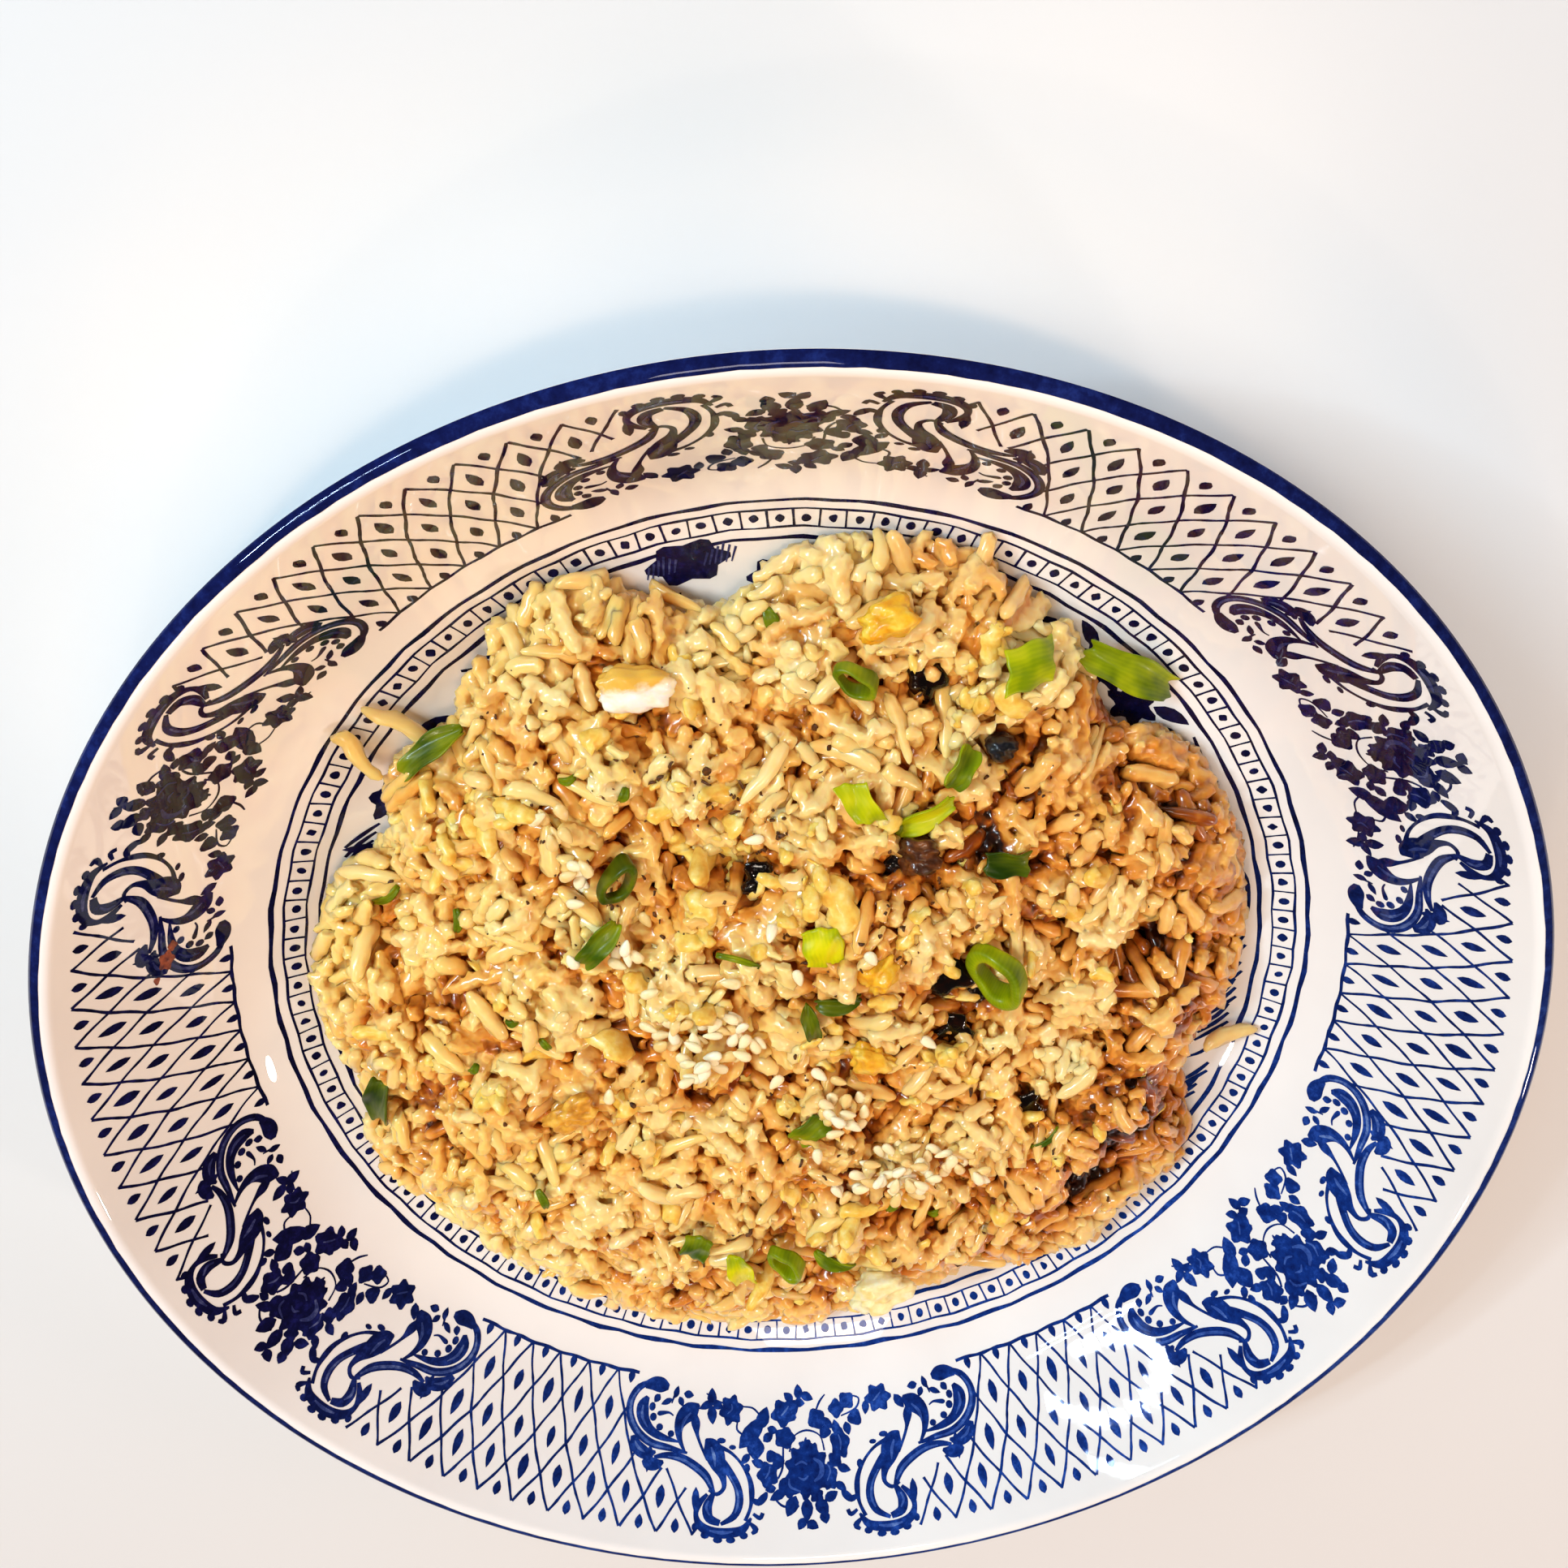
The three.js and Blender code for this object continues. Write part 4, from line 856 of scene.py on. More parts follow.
def grain_shape(sides=8, rings=9, lumps=0.1, broken=False):
    """A grain of unit length and girth: a ball drawn out, with blunt ends, a bend, a kink, a pinch and small dents."""
    bm = bmesh.new()
    bmesh.ops.create_uvsphere(bm, u_segments=sides, v_segments=rings, radius=0.5)
    bend, kink, flat = rng.normal(0, 0.32), rng.normal(0, 0.16), rng.uniform(0.68, 1.0)
    skew, pinch, pinch_at = rng.uniform(-0.3, 0.3), rng.uniform(-0.12, 0.38), rng.uniform(-0.6, 0.6)
    phase = rng.uniform(0, 6.28, 8)
    for vert in bm.verts:
        x, y, z = vert.co
        t = max(-1.0, min(1.0, 2 * z))
        round_r = max(math.sqrt(max(1 - t * t, 0)), 1e-3)
        pinched = 1 - pinch * math.exp(-(((t - pinch_at) / 0.3) ** 2))
        body = math.sqrt(max(1 - abs(t) ** 3.4, 0)) * (1 + skew * t) * pinched
        a = math.atan2(y, x)
        if broken and t > 0.1:
            body = max(body, min(0.95, 14 * (1 - t)) * (0.8 + 0.25 * math.sin(2 * a + phase[3])))
            t -= 0.3 * max(0, t - 0.8) * 5 * (0.5 + 0.5 * math.sin(2 * a + phase[4]) * math.sin(3 * a + phase[5]))
        waves = math.sin(3 * a + 5 * t + phase[0]) + 1.2 * math.sin(2 * a - 8 * t + phase[1])
        k = body / round_r * (1 + lumps * (waves + math.sin(11 * t + a + phase[2])))
        side = 0.5 * bend * (0.6 - t * t) + 0.5 * kink * math.sin(4 * t + phase[6])
        vert.co = (t / 2, x * k + side, y * k * flat + 0.4 * kink * math.sin(3 * t + phase[7]))
    return arrays_of(bm)


def frames_along(axis):
    """For each axis, a right-handed frame with a random roll about it."""
    second = np.cross(axis, rng.normal(size=axis.shape))
    second /= np.linalg.norm(second, axis=1)[:, None]
    return np.stack([axis, second, np.cross(axis, second)], 2)


def write_tint(mesh, colours):
    """Keeps a colour for each point as the mesh's tint."""
    layer = mesh.color_attributes.new("tint", "FLOAT_COLOR", "POINT")
    layer.data.foreach_set("color", np.column_stack([colours, np.ones(len(colours))]).astype(np.float32).ravel())


def joined_copies(name, shapes, pick, frames, sizes, places, paint=None):
    """One mesh, in metres, with a copy of a picked shape for each place; paint gives each copy's tint."""
    verts, loops, totals, marks = [], [], [], []
    base = 0
    for n, (shape_verts, shape_faces) in enumerate(shapes):
        chosen = np.flatnonzero(pick == n)
        if not len(chosen):
            continue
        local = shape_verts[None] * sizes[chosen][:, None]
        world = np.einsum("nij,nvj->nvi", frames[chosen], local) + places[chosen][:, None]
        verts.append(world.reshape(-1, 3))
        marks.append(np.repeat(chosen, len(shape_verts)))
        starts = base + np.arange(len(chosen)) * len(shape_verts)
        loops.append((starts[:, None] + np.concatenate(shape_faces)[None]).ravel())
        totals.append(np.tile([len(f) for f in shape_faces], len(chosen)))
        base += len(chosen) * len(shape_verts)
    verts, loops, totals, marks = (np.concatenate(v) for v in (verts, loops, totals, marks))
    mesh = bpy.data.meshes.new(name)
    mesh.vertices.add(len(verts))
    mesh.vertices.foreach_set("co", (verts * MM).astype(np.float32).ravel())
    mesh.loops.add(len(loops))
    mesh.loops.foreach_set("vertex_index", loops.astype(np.int32))
    mesh.polygons.add(len(totals))
    mesh.polygons.foreach_set("loop_start", (np.cumsum(totals) - totals).astype(np.int32))
    mesh.polygons.foreach_set("loop_total", totals.astype(np.int32))
    mesh.update(calc_edges=True)
    mesh.validate()
    if paint:
        write_tint(mesh, paint(verts, marks))
    return mesh


# How brown each grain is: browner towards +X, partly from sauce and partly as painted shade, in patches that are partly
# sauce and partly painted light and shade, and, as painted shade, in the grooves between clumps. A patch has a place, a
# radius and how much darker it is.
BROWNED_AND_SHADED = (
    (62, -38, 17, 0.16), (72, 4, 15, 0.12), (48, -12, 14, -0.1), (-7, 66, 17, -0.18), (-39, 22, 16, -0.09),
    (36, 66, 14, -0.06), (-60, -15, 15, 0.14), (-16, -38, 16, -0.1), (46, 44, 13, 0.16), (68, 32, 14, 0.2),
    (54, 11, 11, -0.12), (63, -20, 13, 0.22), (39, -48, 13, 0.1), (-9, 36, 9, 0.08), (1, -8, 13, 0.07),
    (-24, -65, 5, 0.35), (-8, -61, 5, 0.3), (57, -50, 6, 0.3), (-62, -44, 5, 0.15), (-30, -2, 16, -0.05),
)
x, y = plan
brown = 0.1 + 0.0014 * x - 0.0004 * y + 0.04 * (np.sin(x * 0.11 + 1.3) * np.sin(y * 0.13 - 0.4))
brown += rng.normal(0, 0.035, count)
for at_x, at_y, wide, darker in BROWNED_AND_SHADED:
    brown += darker * np.exp(-((x - at_x) ** 2 + (y - at_y) ** 2) / wide**2)
# Painted shade: darker in the grooves between the clumps.
brown += 0.3 * read_grid(groove, x, y) * (0.5 + 0.5 * np.sin(0.21 * x + 0.17 * y))
brown += clump_shade[read_grid(own_clump, x, y)]
yellow = np.clip(rng.normal(0.45, 0.24, count) - 0.0045 * x, 0, 1)


def gap_depth(verts):
    """How far below the bridged-over surface each point lies, from 0 to 1 at six millimetres, and less at the edge; it
    sets the painted shade in the gaps.
    """
    x, y, z = verts.T
    inward = heap_edge(np.arctan2(y, x)) - np.hypot(x, y)
    below = read_grid(bridged, x, y) - z - 0.8
    return np.clip(below / 5.2, 0, 1) * np.clip(inward / 12, 0.3, 1)


def sauce_and_shade_tint(verts, marks):
    """Tint of loose grains: brownness, with painted shade that deepens down the gaps, yellowness, and the gap's depth.
    """
    gap = gap_depth(verts)
    underside = np.clip((centre[marks, 2] - verts[:, 2]) / (0.5 * girth[marks]), -0.3, 1)
    soaked_and_shaded = np.clip(brown[marks] + 0.06 * gap + 0.34 * gap**2 + 0.05 * underside, 0, 1)
    return np.stack([soaked_and_shaded, yellow[marks], gap], 1)


# Which grains stay loose, which are fused into clumps near the surface, and which join the mass below.
shapes = [grain_shape(12, 11, 0.07) for _ in range(9)] + [grain_shape(12, 11, 0.08, True) for _ in range(7)]
sizes = np.stack([length, girth, girth], 1)
frames = frames_along(axis)
cover = read_grid(ceiling, *plan) - centre[:, 2]
loose = (cover < 3.4) & (rng.random(count) < 0.42)
loose[: len(OVERHANGS)] = True
upper = ~loose & (cover < 4.2)
pick = rng.integers(0, len(shapes), count)
mass, clumps = (
    joined_copies(name, shapes, pick[chosen], frames[chosen], sizes[chosen], centre[chosen])
    for name, chosen in (("mass", ~loose & ~upper), ("clumps", upper))
)

# The core under the mass: a thick disc with the heap's outline, from the plate up to where the grains begin.
bm = bmesh.new()
bmesh.ops.create_circle(bm, cap_ends=True, cap_tris=True, segments=96, radius=1)
spokes = [e for e in bm.edges if min(v.co.length for v in e.verts) < 1e-6]
bmesh.ops.subdivide_edges(bm, edges=spokes, cuts=40)
for vert in bm.verts:
    vert.co = vert.co * (float(heap_edge(math.atan2(vert.co.y, vert.co.x))) - 3.0)
bmesh.ops.duplicate(bm, geom=list(bm.verts) + list(bm.edges) + list(bm.faces))
for n, vert in enumerate(bm.verts):
    x, y, _ = vert.co
    ground = float(plate_height(math.hypot(x, y))) + 0.35
    roof_here = read_grid(ceiling, x, y)
    roof_here += 0.9 * math.sin(1.7 * x + 0.9 * y) * math.sin(1.9 * y - 0.6 * x) - 0.5
    vert.co.z = ground if n >= len(bm.verts) // 2 else max(roof_here - CORE_DEPTH + 0.7, ground + 0.9)
bmesh.ops.bridge_loops(bm, edges=[e for e in bm.edges if e.is_boundary])
bmesh.ops.recalc_face_normals(bm, faces=bm.faces)
bmesh.ops.scale(bm, vec=(MM, MM, MM), verts=bm.verts)
bm.from_mesh(mass)
bm.to_mesh(mass)
bm.free()


def baked(mesh, *modifiers):
    """The mesh after the modifiers: each is a kind and its settings."""
    holder = bpy.data.objects.new("holder", mesh)
    scene.collection.objects.link(holder)
    for kind, settings in modifiers:
        modifier = holder.modifiers.new(kind.lower(), kind)
        for key, value in settings.items():
            setattr(modifier, key, value)
    result = bpy.data.meshes.new_from_object(holder.evaluated_get(bpy.context.evaluated_depsgraph_get()))
    bpy.data.objects.remove(holder)
    return result


# Points along each grain, by which a place on a fused mesh finds its grain.
SAMPLES = 7
samples = centre[:, None] + axis[:, None] * (half_axis * np.linspace(-1, 1, SAMPLES))[:, :, None]
tree_of_grains = KDTree(count * SAMPLES)
for n, point in enumerate(samples.reshape(-1, 3)):
    tree_of_grains.insert(point, n)
tree_of_grains.balance()


def fuse(mesh, voxel, faces):
    """The overlapping grains melted into one skin of about that many faces, with starch standing up from it."""
    starch = bpy.data.textures.new("starch", "CLOUDS")
    starch.noise_scale = 1.2 * MM
    fused = baked(
        mesh,
        ("REMESH", {"mode": "VOXEL", "voxel_size": (voxel) * MM}),
        ("SMOOTH", {"factor": 0.3, "iterations": 1}),
        ("DISPLACE", {"texture": starch, "strength": 1.8 * MM}),
    )
    fused = baked(fused, ("DECIMATE", {"ratio": min(1.0, faces / (2 * len(fused.polygons)))}))
    verts = np.empty(len(fused.vertices) * 3, np.float32)
    fused.vertices.foreach_get("co", verts)
    verts = verts.reshape(-1, 3) / MM
    # Its tint is that of the nearest grain, with painted shade where two grains meet and in the gaps.
    nearest_grain = np.zeros(len(verts), int)
    meet = np.zeros(len(verts))
    for n, point in enumerate(verts):
        found = tree_of_grains.find_n(point, 5)
        grain, near = found[0][1] // SAMPLES, found[0][2]
        nearest_grain[n] = grain
        meet[n] = next((d for _, k, d in found if k // SAMPLES != grain), near + 9) - near
    meet = 1 - np.clip(meet / 1.1, 0, 1)
    gap = gap_depth(verts)
    # Painted shade: the meeting and gap terms darken creases and gaps.
    browned = brown[nearest_grain] + 0.08 * meet + 0.1 * gap + 0.42 * gap**2
    write_tint(fused, np.stack([np.clip(browned, 0, 1), yellow[nearest_grain], gap], 1))
    return fused


def rice_paint(name):
    """Fried rice: starchy grains that light gets into, under a film of oil, coloured by egg and soy sauce, and darkened
    to near black by painted shade in the gaps.
    """
    material, tree, shader, where = new_material(
        name,
        Roughness=0.3,
        IOR=1.45,
        Subsurface_Weight=0.75,
        Subsurface_Scale=0.0018,
        Subsurface_Radius=(1.0, 0.78, 0.4),
        Coat_Weight=1.0,
        Coat_Roughness=0.17,
        Coat_IOR=1.5,
    )
    tint = add_node(tree, "Attribute", {"attribute_name": "tint"})
    parts = add_node(tree, "SeparateColor", Color=tint)
    mottle = add_node(tree, "TexNoise", Vector=where, Scale=420.0, Detail=3.0)
    shift = add_node(tree, "Math", {"operation": "MULTIPLY_ADD"}, i0=mottle, i1=0.3, i2=parts.outputs["Red"])
    brownness_and_shade = add_node(tree, "Math", {"operation": "SUBTRACT", "use_clamp": True}, i0=shift, i1=0.15)
    pale_to_burnt_and_shaded = (
        (0.0, "#f9dfa0"), (0.2, "#f4cf88"), (0.38, "#edb866"), (0.55, "#d98d34"), (0.74, "#98480a"), (0.95, "#260a02"),
    )
    colour = add_node(tree, "ValToRGB", {"ramp": pale_to_burnt_and_shaded}, Fac=brownness_and_shade)
    coated = add_node(tree, "Math", {"operation": "MULTIPLY"}, i0=parts.outputs["Green"], i1=0.6)
    egg_film = {"data_type": "RGBA", "blend_type": "MULTIPLY"}
    add_node(tree, "Mix", egg_film, shader.inputs["Base Color"], i0=coated, i6=colour, i7=srgb("#ffe896"))
    fine = add_node(tree, "TexNoise", Vector=where, Scale=750.0, Detail=3.0, Roughness=0.6)
    add_node(tree, "Bump", {}, shader.inputs["Normal"], Strength=0.22, Distance=0.0003, Height=fine)
    return material


fused_mass = fuse(mass, 0.6, 150000)
add_piece("rice_mass", fused_mass, rice_paint("fried_rice_stuck_together"), "rice_heap")
add_piece("rice_clumps", fuse(clumps, 0.42, 195000), rice_paint("fried_rice_in_clumps"))

# The loose grains on top. The first of their shapes are whole, and the later ones broken.
loose_shapes = [grain_shape(8, 9, 0.07) for _ in range(16)] + [grain_shape(8, 9, 0.09, True) for _ in range(12)]
bit_shapes = [grain_shape(7, 5, 0.16, n % 2 == 0) for n in range(8)]
for name, wanted, set_of, first_shape in (
    ("rice_whole_grains", is_grain & (length >= 8), loose_shapes, 0),
    ("rice_broken_grains", is_grain & (length < 8), loose_shapes, 10),
    ("rice_bits", ~is_grain, bit_shapes, 0),
):
    chosen = np.flatnonzero(loose & wanted)
    mesh = joined_copies(
        name,
        set_of,
        rng.integers(first_shape, len(set_of), len(chosen)),
        frames[chosen],
        sizes[chosen],
        centre[chosen],
        lambda verts, marks: sauce_and_shade_tint(verts, chosen[marks]),
    )
    add_piece(name, mesh, rice_paint(name + "_fried"))

# Soy sauce that has run down between the clumps and lies there as a dark wet film: place and radius.
SAUCE = (
    (27.5, 10, 4.6), (34.5, 3, 3.6), (28.5, -2.5, 3.4), (21, 35, 4.2), (-4, 34, 3.6), (42, -22, 3.2), (26, 66, 3.4),
)
SAUCE_BLACKS = (0.45, "#080404"), (0.68, "#1c0803"), (0.85, "#451a05")
sauce_paint, tree, shader, where = new_material(
    "soy_sauce_film", Roughness=0.12, IOR=1.38, Coat_Weight=0.8, Coat_Roughness=0.04
)
swirl = add_node(tree, "TexNoise", Vector=where, Scale=500.0, Detail=3.0)
add_node(tree, "ValToRGB", {"ramp": SAUCE_BLACKS}, shader.inputs["Base Color"], Fac=swirl)
add_node(tree, "Bump", {}, shader.inputs["Normal"], Strength=0.4, Distance=0.0008, Height=swirl)
bm = bmesh.new()
for x, y, wide in SAUCE:
    seat = read_grid(bridged, x, y) - 5.7
    for vert in bmesh.ops.create_uvsphere(bm, u_segments=20, v_segments=10, radius=wide)["verts"]:
        a = math.atan2(vert.co.y, vert.co.x)
        k = 1 + 0.2 * math.sin(3 * a + x) + 0.15 * math.sin(5 * a + y)
        vert.co = (x + vert.co.x * k, y + vert.co.y * k, seat + vert.co.z * 0.22)
add_piece("sauce_pools", bm, sauce_paint)


# ---- Sesame seeds ----
# Hulled white sesame, toasted: flat drops about three millimetres long, satiny and a little see-through. They were
# sprinkled last, by the pinch, so they lie in a few small piles and thin out between them.
# A pinch has a place, how far it spreads each way, and the number of its seeds.
PINCHES = (
    (-16, 4, 13, 8, 90), (19, -31, 13, 8, 90), (17, -29, 7, 5, 36), (-33, 40, 6, 8, 15), (-31, 24, 9, 5, 19),
    (6, -14, 8, 9, 24), (7, -36, 4, 4, 10), (32, -31, 5, 5, 9), (-38, 50, 6, 5, 7), (0, 10, 62, 52, 18),
)
SEED_SEAT = 1.9  # above the grains
SEED_ON_SEED = 0.8
# Each seed's own toast shows in its colour, mottled every 1.7 mm, and its oil gives a satin shine.
TOASTED = (0.2, "#fff3d2"), (0.8, "#fae6b4"), (1.0, "#ecca80")
sesame_paint, tree, shader, where = new_material(
    "toasted_sesame",
    Roughness=0.36,
    Subsurface_Weight=0.3,
    Subsurface_Scale=0.0008,
    Subsurface_Radius=(1, 0.6, 0.3),
    Coat_Weight=0.3,
    Coat_Roughness=0.2,
)
tint = add_node(tree, "Attribute", {"attribute_name": "tint"})
mottle = add_node(tree, "TexNoise", Vector=where, Scale=600.0)
parts = add_node(tree, "SeparateColor", Color=tint)
shift = add_node(tree, "Math", {"operation": "MULTIPLY_ADD"}, i0=mottle, i1=0.4, i2=parts.outputs["Red"])
add_node(tree, "ValToRGB", {"ramp": TOASTED}, shader.inputs["Base Color"], Fac=shift)

bm = bmesh.new()
bmesh.ops.create_uvsphere(bm, u_segments=8, v_segments=7, radius=0.5)
for vert in bm.verts:
    x, y, z = vert.co
    vert.co = (z, x * (1 - 0.75 * z), y * (1 - 0.5 * z))
seed_shape = arrays_of(bm)

seeds = []
for at_x, at_y, spread_x, spread_y, number in PINCHES:
    for _ in range(number):
        x, y = (at + spread * (rng.random(3).sum() / 1.5 - 1) for at, spread in ((at_x, spread_x), (at_y, spread_y)))
        if read_grid(beds, x, y):
            continue
        under_it = [seed[2] for seed in seeds if (x - seed[0]) ** 2 + (y - seed[1]) ** 2 < 3.4]
        if len(under_it) < 2:
            seeds.append((x, y, max([read_grid(laid, x, y) + SEED_SEAT, *[z + SEED_ON_SEED for z in under_it]])))
seeds = np.array(seeds)
n = len(seeds)
lean = heap_normal(*seeds[:, :2].T) + rng.normal(0, 0.16, (n, 3))
lean /= np.linalg.norm(lean, axis=1)[:, None]
along = np.cross(lean, rng.normal(size=(n, 3)))
along /= np.linalg.norm(along, axis=1)[:, None]
mesh = joined_copies(
    "sesame_seeds",
    [seed_shape],
    np.zeros(n, int),
    np.stack([along, np.cross(lean, along), lean], 2),
    np.stack([rng.uniform(*span, n) for span in ((3.2, 3.8), (1.85, 2.25), (1.1, 1.35))], 1),
    seeds,
    lambda verts, marks: rng.random((n, 3))[marks],
)
add_piece("sesame_seeds", mesh, sesame_paint)


# ---- Spring onion ----
# Green leaf of spring onion, cut across and wilted by the heat: thin waxy pieces, ribbed along the leaf, with ragged
# cut ends. Some are flat or curled bits of leaf, and some are slices that still form a ring.
# A bit of leaf has a shade, then how far it bows along and cups across, its taper, skew and raggedness.
LEAVES = {
    "onion_leaf_long": ("bright", 2.0, 1.2, 0.25, 0, 1.3),
    "onion_square_upper": ("light", 0.8, -0.9, 0, 1.4, 0.5),
    "onion_tube_small": ("bright", 0.8, 1.5, 0, 0, 0.4),
    "onion_flake_middle": ("light", 0.8, 0.6, 0, 1.0, 0.5),
    "onion_strip_middle": ("light", 1.2, 1.0, 0.4, 0, 0.7),
    "onion_dark_right": ("dark", 0.6, 0.8, 0, 0, 0.5),
    "onion_strip_left": ("middle", 1.6, 0.9, 0.35, 0, 0.5),
    "onion_square_centre": ("lime", 0.5, -0.5, 0, 0, 0.6),
    "onion_curl_centre": ("dark", 1.2, 1.0, 0.4, 0, 0.5),
    "onion_curl_dark": ("dark", 1.0, 0.8, 0.4, 0, 0.5),
    "onion_chip_lower": ("middle", 0.6, 0.6, 0, 0, 0.6),
    "onion_dark_lower": ("middle", 0.8, 0.6, 0, 0, 0.6),
    "onion_bright_lower": ("lime", 0.8, 1.0, 0.2, 0, 0.6),
    "onion_curl_lower": ("bright", 1.4, 0.9, 0.5, 0, 0.5),
    "onion_olive_left": ("middle", 1.0, 1.2, 0.45, 0, 0.6),
    "onion_dark_edge": ("dark", 1.4, 1.2, 0.4, 0, 0.8),
}
# A slice has a shade, its two widths, its height, the thickness of its wall and how far it tips over, in degrees.
SLICES = {
    "onion_curl_upper": ("middle", 7.5, 5.5, 3.0, 0.8, 24),
    "onion_loop_left": ("dark", 11, 5, 3.2, 0.9, 30),
    "onion_ring_big": ("bright", 12, 10, 4.2, 2.0, 16),
    "onion_ring_lower": ("bright", 8.5, 6.5, 3.4, 1.1, 26),
}
# The greens are partly the leaf's own range from pale to dark and partly painted light and shade, each piece given the
# green it shows as lit.
GREENS_LIT_AND_SHADED = {
    "lime": ("#94a200", "#d4d002", "#ecdc1c"),
    "light": ("#7a8e00", "#aeb402", "#d6ce14"),
    "bright": ("#566a00", "#8a9802", "#c0bc14"),
    "middle": ("#3c5400", "#707e02", "#a4a40e"),
    "dark": ("#203600", "#4a5802", "#7e800a"),
}
LEAF_THICKNESS = 0.7

# The leaf's wax gives a soft sheen. It is blotched every 7 mm, with ribs 0.75 mm apart that run along the leaf.
leaf_paints = {}
for shade, codes in GREENS_LIT_AND_SHADED.items():
    leaf_paints[shade], tree, shader, where = new_material(
        "spring_onion_leaf_" + shade,
        Roughness=0.36,
        Specular_IOR_Level=0.3,
        Subsurface_Weight=0.3,
        Subsurface_Scale=0.0012,
        Subsurface_Radius=(0.85, 1.0, 0.05),
        Coat_Weight=0.12,
        Coat_Roughness=0.1,
    )
    uv = add_node(tree, "UVMap", {"uv_map": "leaf"})
    ribs = add_node(tree, "TexWave", {"bands_direction": "Y"}, Vector=uv, Scale=0.42, Distortion=2.5, Detail=2.0)
    blotch = add_node(tree, "TexNoise", Vector=where, Scale=150.0, Detail=2.0)
    mixed = add_node(tree, "Math", {"operation": "MULTIPLY_ADD"}, i0=ribs.outputs["Fac"], i1=0.04, i2=blotch)
    add_node(tree, "ValToRGB", {"ramp": list(zip((0.36, 0.58, 0.85), codes))}, shader.inputs["Base Color"], Fac=mixed)
    add_node(tree, "Bump", {}, shader.inputs["Normal"], Strength=0.3, Distance=0.0003, Height=mixed)


def seat_piece(bm, node, turn, tip=0.0):
    """Turns and tilts a piece, drawn about the origin in mm, and puts it into its node's box."""
    x, y, low, high = box_of(node)
    slope = Vector((0, 0, 1)).rotation_difference(Vector(heap_normal(x, y))).to_matrix().to_4x4()
    spin = Matrix.Rotation(math.radians(turn), 4, "Z") @ Matrix.Rotation(math.radians(tip), 4, "X")
    bmesh.ops.transform(bm, matrix=slope @ spin, verts=bm.verts)
    middle = [(min(v.co[k] for v in bm.verts) + max(v.co[k] for v in bm.verts)) / 2 for k in range(3)]
    bmesh.ops.translate(bm, vec=Vector((x, y, (low + high) / 2)) - Vector(middle), verts=bm.verts)


def lay_leaf(bm, node, shade, tip=0.0):
    """Puts a finished sheet of leaf in its node's place, with its edges rounded."""
    seat_piece(bm, node, LAID[node][2], tip)
    piece = add_piece(node + "_cut", bm, leaf_paints[shade], node)
    rounding = piece.modifiers.new("round_edges", "SUBSURF")
    rounding.levels = rounding.render_levels = 1


for node, (shade, bow, cup, taper, skew, ragged) in LEAVES.items():
    long, wide, _ = LAID[node]
    bm = bmesh.new()
    bmesh.ops.create_grid(bm, x_segments=20, y_segments=10, size=1)
    layer = bm.loops.layers.uv.new("leaf")
    for loop in [loop for face in bm.faces for loop in face.loops]:
        loop[layer].uv = (loop.vert.co.x * long / 2, loop.vert.co.y * wide / 2)
    phase = rng.uniform(0, 6.28, 6)
    for vert in bm.verts:
        u, v, _ = vert.co
        side = wide / 2 * (1 - taper * u * u + 0.08 * math.sin(5 * u + phase[3]))
        torn = ragged * (math.sin(4.2 * v + phase[0]) + 0.6 * math.sin(9 * v + phase[1])) / 1.6
        x = long / 2 * u + skew * v + torn * abs(u) ** 5 * (1 if u > 0 else -1) - 0.3 * ragged * u**5
        ripple = 0.3 * math.sin(3 * u + 2 * v + phase[4]) + 0.2 * math.sin(5 * u + phase[2]) * v
        ripple += 0.12 * math.sin(8 * v + 4 * u)
        vert.co = (x, side * v, bow * (1 - u * u) + cup * v * v + ripple)
    bmesh.ops.solidify(bm, geom=list(bm.faces), thickness=LEAF_THICKNESS)
    bmesh.ops.recalc_face_normals(bm, faces=bm.faces)
    lay_leaf(bm, node, shade)

for node, (shade, long, wide, height, wall, tip) in SLICES.items():
    bm = bmesh.new()
    bmesh.ops.create_circle(bm, cap_ends=False, segments=32, radius=wide / 2)
    made = bmesh.ops.extrude_edge_only(bm, edges=list(bm.edges))["geom"]
    bmesh.ops.translate(bm, vec=(0, 0, height), verts=[g for g in made if isinstance(g, bmesh.types.BMVert)])
    uprights = [e for e in bm.edges if abs(e.verts[0].co.z - e.verts[1].co.z) > 1]
    bmesh.ops.subdivide_edges(bm, edges=uprights, cuts=3)
    layer = bm.loops.layers.uv.new("leaf")
    for face in bm.faces:
        turns = [math.atan2(loop.vert.co.y, loop.vert.co.x) for loop in face.loops]
        for loop, t in zip(face.loops, turns):
            t += 2 * math.pi * (max(turns) - t > 3)
            loop[layer].uv = (loop.vert.co.z, t * wide / 2)
    bmesh.ops.recalc_face_normals(bm, faces=bm.faces)
    bmesh.ops.solidify(bm, geom=list(bm.faces), thickness=wall)
    phase = rng.uniform(0, 6.28, 4)
    for vert in bm.verts:
        a = math.atan2(vert.co.y, vert.co.x)
        k = 1 + 0.08 * math.sin(2 * a + phase[0]) + 0.05 * math.sin(3 * a + phase[1])
        x = vert.co.x * k * long / wide
        lean_over = 1 + 0.25 * x / (wide / 2)
        vert.co = (x, vert.co.y * k, vert.co.z * lean_over + 0.18 * math.sin(4 * a + phase[2]))
    bmesh.ops.recalc_face_normals(bm, faces=bm.faces)
    lay_leaf(bm, node, shade, tip)

